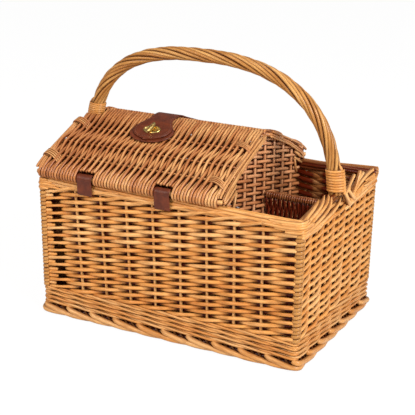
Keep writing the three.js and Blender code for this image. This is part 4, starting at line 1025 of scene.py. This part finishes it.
stick_shares = [float(arch_share(d)) for d in LID_STICKS]
crossings = [-0.2, 0.03] + stick_shares + [0.97, 1.2]
for name, side in (("front", -1), ("back", 1)):
    body = f"{name}_lid"
    rods = []
    for t in stick_shares:
        y, z = arch_point(t)
        rods.append(rod(straight(LID_ENDS[0] - 1, LID_ENDS[1] + 1, side * y, z), LID_STICK))
    for i in range(FINE_COUNT):
        x = LID_SPAN[0] + (LID_SPAN[1] - LID_SPAN[0]) * (i + 0.5) / FINE_COUNT
        at_loop = any(abs(x - loop_x) < LOOP_CLEAR for loop_x in LOOP_X.values())
        track = lid_line(0.13 if at_loop else 0.0)
        if x < HANDLE_CLEAR:
            track = track[(track[:, 0] > LEG_CLEAR[0]) | (track[:, 1] < LEG_CLEAR[1])]
        share = track[:, 2]
        signs = [(1 if (i + k) % 2 else -1) for k in range(3)]
        lift = wave(share, crossings, [0, 0] + [LID_WAVE * v for v in signs] + [0.6, 0.4], 0.6)
        under_flap = np.clip((FLAP_HALF - abs(x - FLAP_X)) / FLAP_FADE, 0, 1)
        under_flap = under_flap * np.clip((FLAP_REACH - track[:, 0]) / FLAP_FADE, 0, 1)
        lift = np.where(lift > 0, lift * (1 - 0.5 * under_flap), lift)
        lift = np.where((share > 0) & (share < 1), lift, 0)
        step = unit(np.gradient(track[:, :2], axis=0))
        normal = np.stack([step[:, 1], -step[:, 0]], -1)
        where = track[:, :2] + normal * lift[:, None]
        leaning = [0, 0, 0.6 * signs[0], 0.3 * signs[1], 0.3 * signs[2], 0, 0]
        sway = wave(share, crossings, LID_SWAY) + wave(share, crossings, leaning)
        xs = x + sway + vary(-0.3, 0.3)
        points, out = on_side(xs, where, side), on_side(0, normal, side)
        size = FINE * (1 + 0.08 * lift / LID_WAVE) * vary(0.94, 1.05)
        flush = (share == 0) | (share == 1)
        # Where a weaver dips under a stick, shade is painted on it, and its edges are painted darker.
        proud = np.where(flush, 0.7, np.clip(lift / LID_WAVE, -1, 1) * 0.68)
        # Painted light: the weavers grow paler towards the right end, where the light falls brighter.
        tone = vary(0.36, 0.96) - 0.48 * i / FINE_COUNT
        rods.append(rod(points, size, tone=tone, out=out, proud=proud, edge=1.25, inner=0.3))
    fit_rods(f"{body}_weave", rods, f"{body}_panel", body, **LID_LOOK, sides=7)

    ends = straight(LID_ENDS[0] - 2, LID_ENDS[1] + 2, side * HINGE[0], HINGE[1])
    rods = [rod(ends, HINGE_STICK, tone=0.1, proud=1)]
    fit_rods(f"{body}_hinge_rod", rods, f"{body}_hinge_stick", body, slot="willow_lid", sides=12)
    ends = straight(HANDLE_CLEAR - 4, LID_ENDS[1] + 2, side * RIDGE[0], RIDGE[1])
    rods = [rod(ends, RIDGE_STICK, tone=0.4)]
    fit_rods(f"{body}_ridge_rod", rods, f"{body}_ridge_stick", body, **LID_LOOK, sides=10)

    for end_name, x, inward, last in BOWS:
        rods = []
        for j in range(3):
            t = np.linspace(0.02, last, 26)
            p = arch_point(t, 1.6 - 0.8 * j)
            xs = x + inward * (3.2 * j - 1.6) + inward * 1.2 * np.sin(t * 3 + j)
            points, tone = on_side(xs, p, side), vary(0, 0.5)
            rods.append(rod(points, BOW_RADIUS, tone=tone, out=(1, 0, 0), proud=0.5))
        bow = f"{body}_bow_{end_name}"
        fit_rods(f"{bow}_rods", rods, bow, body, **LID_LOOK, sides=7)

        # Lashings: the sticks are tied to the bow by strands that arch over it and tuck under
        for number, distance in TIES:
            rods = []
            for j in range(4):
                reach, lift = between(TIE_START + TIE_TUCK, 33)
                bowed = np.clip(reach / TIE_START[0][0], 0, 1)
                spread = (bowed if end_name == "left" else 1 - bowed) ** 1.7
                slide = 0.85 * TIE_SPACING * (j - 1.5) - 4 + 10 * spread
                p = arch_point(arch_share(distance + slide), lift)
                shift = reach - 0.6 * j + (3.5 if end_name == "right" else 0)
                points = on_side(x + inward * shift, p, side)
                rods.append(rod(points, TIE_RADIUS, tone=vary(0, 0.5), edge=0.9))
            tie = f"{body}_tie_{end_name}_{number}"
            fit_rods(f"{tie}_strands", rods, tie, body, **LID_LOOK, sides=7)

# Leather at the ridge: a strap sewn to the back lid lies over the ridge and down on the front
# lid. Its wide end has a slot for the lock, and a stitched seam runs along its edge.
STRAP_HALF = 21.0
STRAP_END_HALF = 33.0
STRAP_REACH = 72.0
STRAP_NECK = 18.0
STRAP_WIDEST = STRAP_REACH - 24
STRAP_TIP = 24.6
STRAP_THICKNESS = 2.5
STRAP_CREST = 319.7
STRAP_TURN_Y = 13.8
STRAP_PLACES = (25, 36, 48, 60, STRAP_REACH)
PATCH_LIFT = 4.1
STRAP_LIFT = 6.4
SEAM_INSET = 3.6
STITCH = 3.4
STITCH_GAP = 1.5
STITCH_RADIUS = 0.42
LOCK_DISTANCE = 48.0
LOCK_HALF = (15.0, 9.6)
LOCK_HOLE = ((0.3, 2), (0.3, 14))
THREAD = leather("waxed_thread", (0.20, 0.075, 0.04), (0.14, 0.045, 0.025), roughness=0.6)


# A smooth line through points, closely spaced
def through(points, count):
    points = np.asarray(points, float)
    knots = run_along(points, 0.5)
    tangents = np.gradient(points, knots, axis=0)
    fine = np.linspace(0, knots[-1], count)
    i = np.clip(np.searchsorted(knots, fine) - 1, 0, len(knots) - 2)
    h = (knots[i + 1] - knots[i])[:, None]
    t = (fine[:, None] - knots[i][:, None]) / h
    ease = 3 * t ** 2 - 2 * t ** 3
    leave = (t ** 3 - 2 * t ** 2 + t) * tangents[i] * h
    arrive = (t ** 3 - t ** 2) * tangents[i + 1] * h
    return (1 - ease) * points[i] + leave + ease * points[i + 1] + arrive


def strap_half(distance):
    d = np.abs(distance)
    share = np.clip((d - STRAP_NECK) / (STRAP_WIDEST - STRAP_NECK), 0, 1)
    share = share * share * (3 - 2 * share)
    wide = STRAP_HALF + (STRAP_END_HALF - STRAP_HALF) * share
    tip = np.sqrt(np.clip(1 - ((d - STRAP_WIDEST) / STRAP_TIP) ** 2, 0.02, 1))
    return np.where(d > STRAP_WIDEST, STRAP_END_HALF * tip, wide)


strap_path = []
for d in reversed(STRAP_PLACES):
    y, z = arch_point(arch_share(d), STRAP_LIFT + STRAP_THICKNESS / 2)
    strap_path.append((-y, z))
strap_path += [(-RIDGE[0], STRAP_CREST), (RIDGE[0], STRAP_CREST)]
for d in STRAP_PLACES:
    strap_path.append(tuple(arch_point(arch_share(d), PATCH_LIFT + STRAP_THICKNESS / 2)))
strap_path = through(strap_path, 220)
strap_step = unit(np.gradient(strap_path, axis=0))


def strap_piece(name, chosen):
    y, z = strap_path[chosen].T
    normals = xyz(0, -strap_step[chosen, 1], strap_step[chosen, 0])
    return strip_mesh(name, xyz(FLAP_X, y, z), normals, strap_half(y), STRAP_THICKNESS, columns=13)


# Saddle stitches in a line, half sunk in the leather
def stitches(points, normals):
    run = run_along(points)
    rods = []
    at = 0.0
    while at + STITCH < run[-1]:
        s = np.linspace(at, at + STITCH, 6)
        lift = STITCH_RADIUS * np.sin(np.linspace(0, math.pi, 6)) - 0.12
        raised = unit(read_off(normals, run, s)) * lift[:, None]
        rods.append(rod(read_off(points, run, s) + raised, STITCH_RADIUS))
        at += STITCH + STITCH_GAP
    return rods


# Cuts one solid by another and keeps the result as a plain, smooth mesh
def carve(piece, cutter):
    tool = piece.modifiers.new("carve", "BOOLEAN")
    tool.operation = "DIFFERENCE"
    tool.solver = "EXACT"
    tool.object = cutter
    bpy.context.view_layer.update()
    done = bpy.data.meshes.new_from_object(piece.evaluated_get(bpy.context.evaluated_depsgraph_get()))
    for face in done.polygons:
        face.use_smooth = True
    piece.modifiers.clear()
    piece.data = done
    bpy.data.objects.remove(cutter)


lock_share = float(arch_share(LOCK_DISTANCE))
lock_foot = arch_point(lock_share)
lock_up = arch_point(lock_share, 1.0) - lock_foot
LOCK_NORMAL = np.array([0, -lock_up[0], lock_up[1]])
LOCK_SLOPE = np.array([0, lock_up[1], lock_up[0]])


# An oval body on the front lid, built of rings: each has a distance that it stands out past the
# halves, and a height over the lid
def oval(name, rings, halves, sides=48):
    mesh = bmesh.new()
    base = np.array([FLAP_X, -lock_foot[0], lock_foot[1]])
    made = []
    for grow, height in rings:
        ring = []
        for q in range(sides):
            a = 2 * math.pi * q / sides
            u = np.array([(halves[0] + grow) * math.cos(a), 0, 0])
            v = LOCK_SLOPE * (halves[1] + grow) * math.sin(a)
            ring.append(mesh.verts.new((base + u + v + LOCK_NORMAL * height) * MM))
        made.append(ring)
    join_rings(mesh, made)
    mesh.faces.new(made[0][::-1])
    mesh.faces.new(made[-1])
    return built(name, mesh)


strap = strap_piece("closure_strap_leather", strap_path[:, 0] < STRAP_TURN_Y)
carve(strap, oval("lock_hole", LOCK_HOLE, LOCK_HALF))
fit(strap, "closure_strap", "strap", LEATHER)

y = np.linspace(2, -(STRAP_REACH - SEAM_INSET), 46)
x = np.maximum(strap_half(y) - SEAM_INSET, 0.5)
x, y = np.concatenate([-x, x[::-1]]), np.concatenate([y, y[::-1]])
z = np.interp(y, strap_path[:, 0], strap_path[:, 1])
slopes = read_off(strap_step, strap_path[:, 0], y)
normals = xyz(0, -slopes[:, 1], slopes[:, 0])
seam = stitches(xyz(FLAP_X + x, y, z) + normals * STRAP_THICKNESS / 2, normals)
fit_rods("closure_strap_seam", seam, None, "strap", "leather", THREAD, sides=5)

fixed = strap_piece("strap_fixed_end_leather", strap_path[:, 0] > STRAP_TURN_Y + 0.1)
fit(fixed, "strap_fixed_end", "back_lid", LEATHER)

# Backing patch: an oval of the same leather, a little wider than the strap's end, sewn to the
# front lid's weave under the lock.
PATCH_HALF = (38.0, 25.0)
PATCH_THICKNESS = 2.0
PATCH_DISTANCE = LOCK_DISTANCE + 2
share = np.linspace(-0.995, 0.995, 40)
ts = arch_share(PATCH_DISTANCE + PATCH_HALF[1] * share)
low = arch_point(ts, PATCH_LIFT + PATCH_THICKNESS / 2)
rise = arch_point(ts, PATCH_LIFT + PATCH_THICKNESS / 2 + 1) - low
points, normals = on_side(FLAP_X, low, -1), on_side(0, rise, -1)
halves = PATCH_HALF[0] * np.sqrt(1 - share ** 2)
patch = strip_mesh("lock_backing_patch_leather", points, normals, halves, PATCH_THICKNESS, columns=13)
fit(patch, "lock_backing_patch", "front_lid", LEATHER)

# Turn lock: a pressed brass plate that comes up through the strap's slot, with a wing knob on
# top that turns across it and holds the strap down. The strap's two rivets are brass too.
PLATE_TOP = STRAP_LIFT + STRAP_THICKNESS + 1.3
PLATE_RINGS = ((0, STRAP_LIFT - PLATE_TOP - 0.2), (0, -0.6), (-0.7, 0), (-2.0, 0), (-2.8, -0.7), (-7.5, -0.7))
KNOB_LOW = PLATE_TOP + 0.1
KNOB_HALF = (4.0, 12.0)
KNOB_RINGS = ((-2.4, 0), (-1.0, 0), (0, 1.2), (0, 3.8), (-0.8, 5.2), (-2.6, 5.8))


def brass(name, colour, roughness=0.24):
    material, tree, shade = new_material(name)
    wear = clouds(tree, 240, 4)
    dull = (colour[0] * 0.7, colour[1] * 0.62, colour[2] * 0.45)
    feed(tree, shade, {"Base Color": colour_ramp(tree, wear, (0.3, dull), (0.6, colour))})
    feed(tree, shade, {"Roughness": uneven(tree, wear, roughness - 0.08, roughness + 0.14)})
    feed(tree, shade, {"Metallic": 1.0})
    return material


BRASS = brass("worn_brass", (0.90, 0.68, 0.26))
plate = oval("lock_plate_rim", [(grow, PLATE_TOP + z) for grow, z in PLATE_RINGS], LOCK_HALF)
fit(plate, "lock_plate", "front_lid", BRASS)
knob = oval("turn_knob_wing", [(grow, KNOB_LOW + z) for grow, z in KNOB_RINGS], KNOB_HALF)
fit(knob, "turn_knob", "knob", BRASS)
for number in (1, 2):
    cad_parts[f"strap_rivet_{number}"].data.materials.clear()
    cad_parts[f"strap_rivet_{number}"].data.materials.append(BRASS)

# Floor and background: a plain pale floor that keeps the basket's shadow, and white behind it,
# under a soft warm sky.
bpy.ops.mesh.primitive_plane_add(size=14, location=(0, 0, -0.0005))
floor = bpy.context.object
floor.name = "studio_floor"
white, tree, _ = new_material("studio_white")
tree.nodes.clear()
camera_ray = add_node(tree, "LightPath", {}).outputs["Is Camera Ray"]
seen = add_node(tree, "Math", {0: camera_ray, 1: 0.9}, operation="MULTIPLY").outputs[0]
paint = add_node(tree, "BsdfDiffuse", {0: (0.74, 0.74, 0.74, 1)}).outputs[0]
glow = add_node(tree, "Emission", {1: 1.06}).outputs[0]
mix = add_node(tree, "MixShader", {0: seen, 1: paint, 2: glow}).outputs[0]
add_node(tree, "OutputMaterial", {0: mix})
floor.data.materials.append(white)

world = bpy.data.worlds.new("studio")
bpy.context.scene.world = world
world.use_nodes = True
tree = world.node_tree
tree.nodes.clear()
camera_ray = add_node(tree, "LightPath", {}).outputs["Is Camera Ray"]
sky = add_node(tree, "Background", {0: (1.0, 0.98, 0.95, 1), 1: 0.30}).outputs[0]
behind = add_node(tree, "Background", {0: (1, 1, 1, 1), 1: 1.0}).outputs[0]
mix = add_node(tree, "MixShader", {0: camera_ray, 1: sky, 2: behind}).outputs[0]
add_node(tree, "OutputWorld", {0: mix})

# Lamps: a key from the right front, a warmer fill from the left front and a weak one above.
LAMPS = (
    ("key", (2.4, -1.15, 1.95), (0, 0, 0.15), 1.0, 96, (1, 1, 1)),
    ("fill", (-1.3, -2.3, 1.7), (0, 0, 0.15), 1.4, 42, (1.0, 0.93, 0.85)),
    ("top", (0.2, 0.6, 2.8), (0, 0, 0.2), 1.4, 12, (1, 1, 1)),
)
for name, place, target, size, power, colour in LAMPS:
    data = bpy.data.lights.new(name, "AREA")
    data.energy = power
    data.color = colour
    data.size = size
    light = placed(name, data)
    light.location = place
    direction = Vector(target) - Vector(place)
    light.rotation_euler = direction.to_track_quat("-Z", "Y").to_euler()

# Camera: as the basket stands in the photograph, from its front right and a little above.
AZIMUTH = math.radians(27.52)
ELEVATION = math.radians(18.27)
ROLL = math.radians(0.945)
CAMERA_PLACE = (0.7840, -1.5133, 0.7383)
FOCAL_PIXELS = 1103.5
FRAME_PIXELS = 415
SENSOR_WIDTH = 36
level = math.cos(ELEVATION)
back = np.array([math.sin(AZIMUTH) * level, -math.cos(AZIMUTH) * level, math.sin(ELEVATION)])
right = np.array([math.cos(AZIMUTH), math.sin(AZIMUTH), 0])
up = np.cross(right, -back)
cam_x = math.cos(ROLL) * right + math.sin(ROLL) * up
cam_y = -math.sin(ROLL) * right + math.cos(ROLL) * up
lens = bpy.data.cameras.new("camera")
lens.sensor_fit = "HORIZONTAL"
lens.sensor_width = SENSOR_WIDTH
lens.lens = SENSOR_WIDTH * FOCAL_PIXELS / FRAME_PIXELS
camera = placed("camera", lens)
turn = np.stack([cam_x, cam_y, back, CAMERA_PLACE], 1)
camera.matrix_world = Matrix([*turn.tolist(), [0, 0, 0, 1]])
bpy.context.scene.camera = camera
bpy.context.scene.view_settings.view_transform = "Standard"
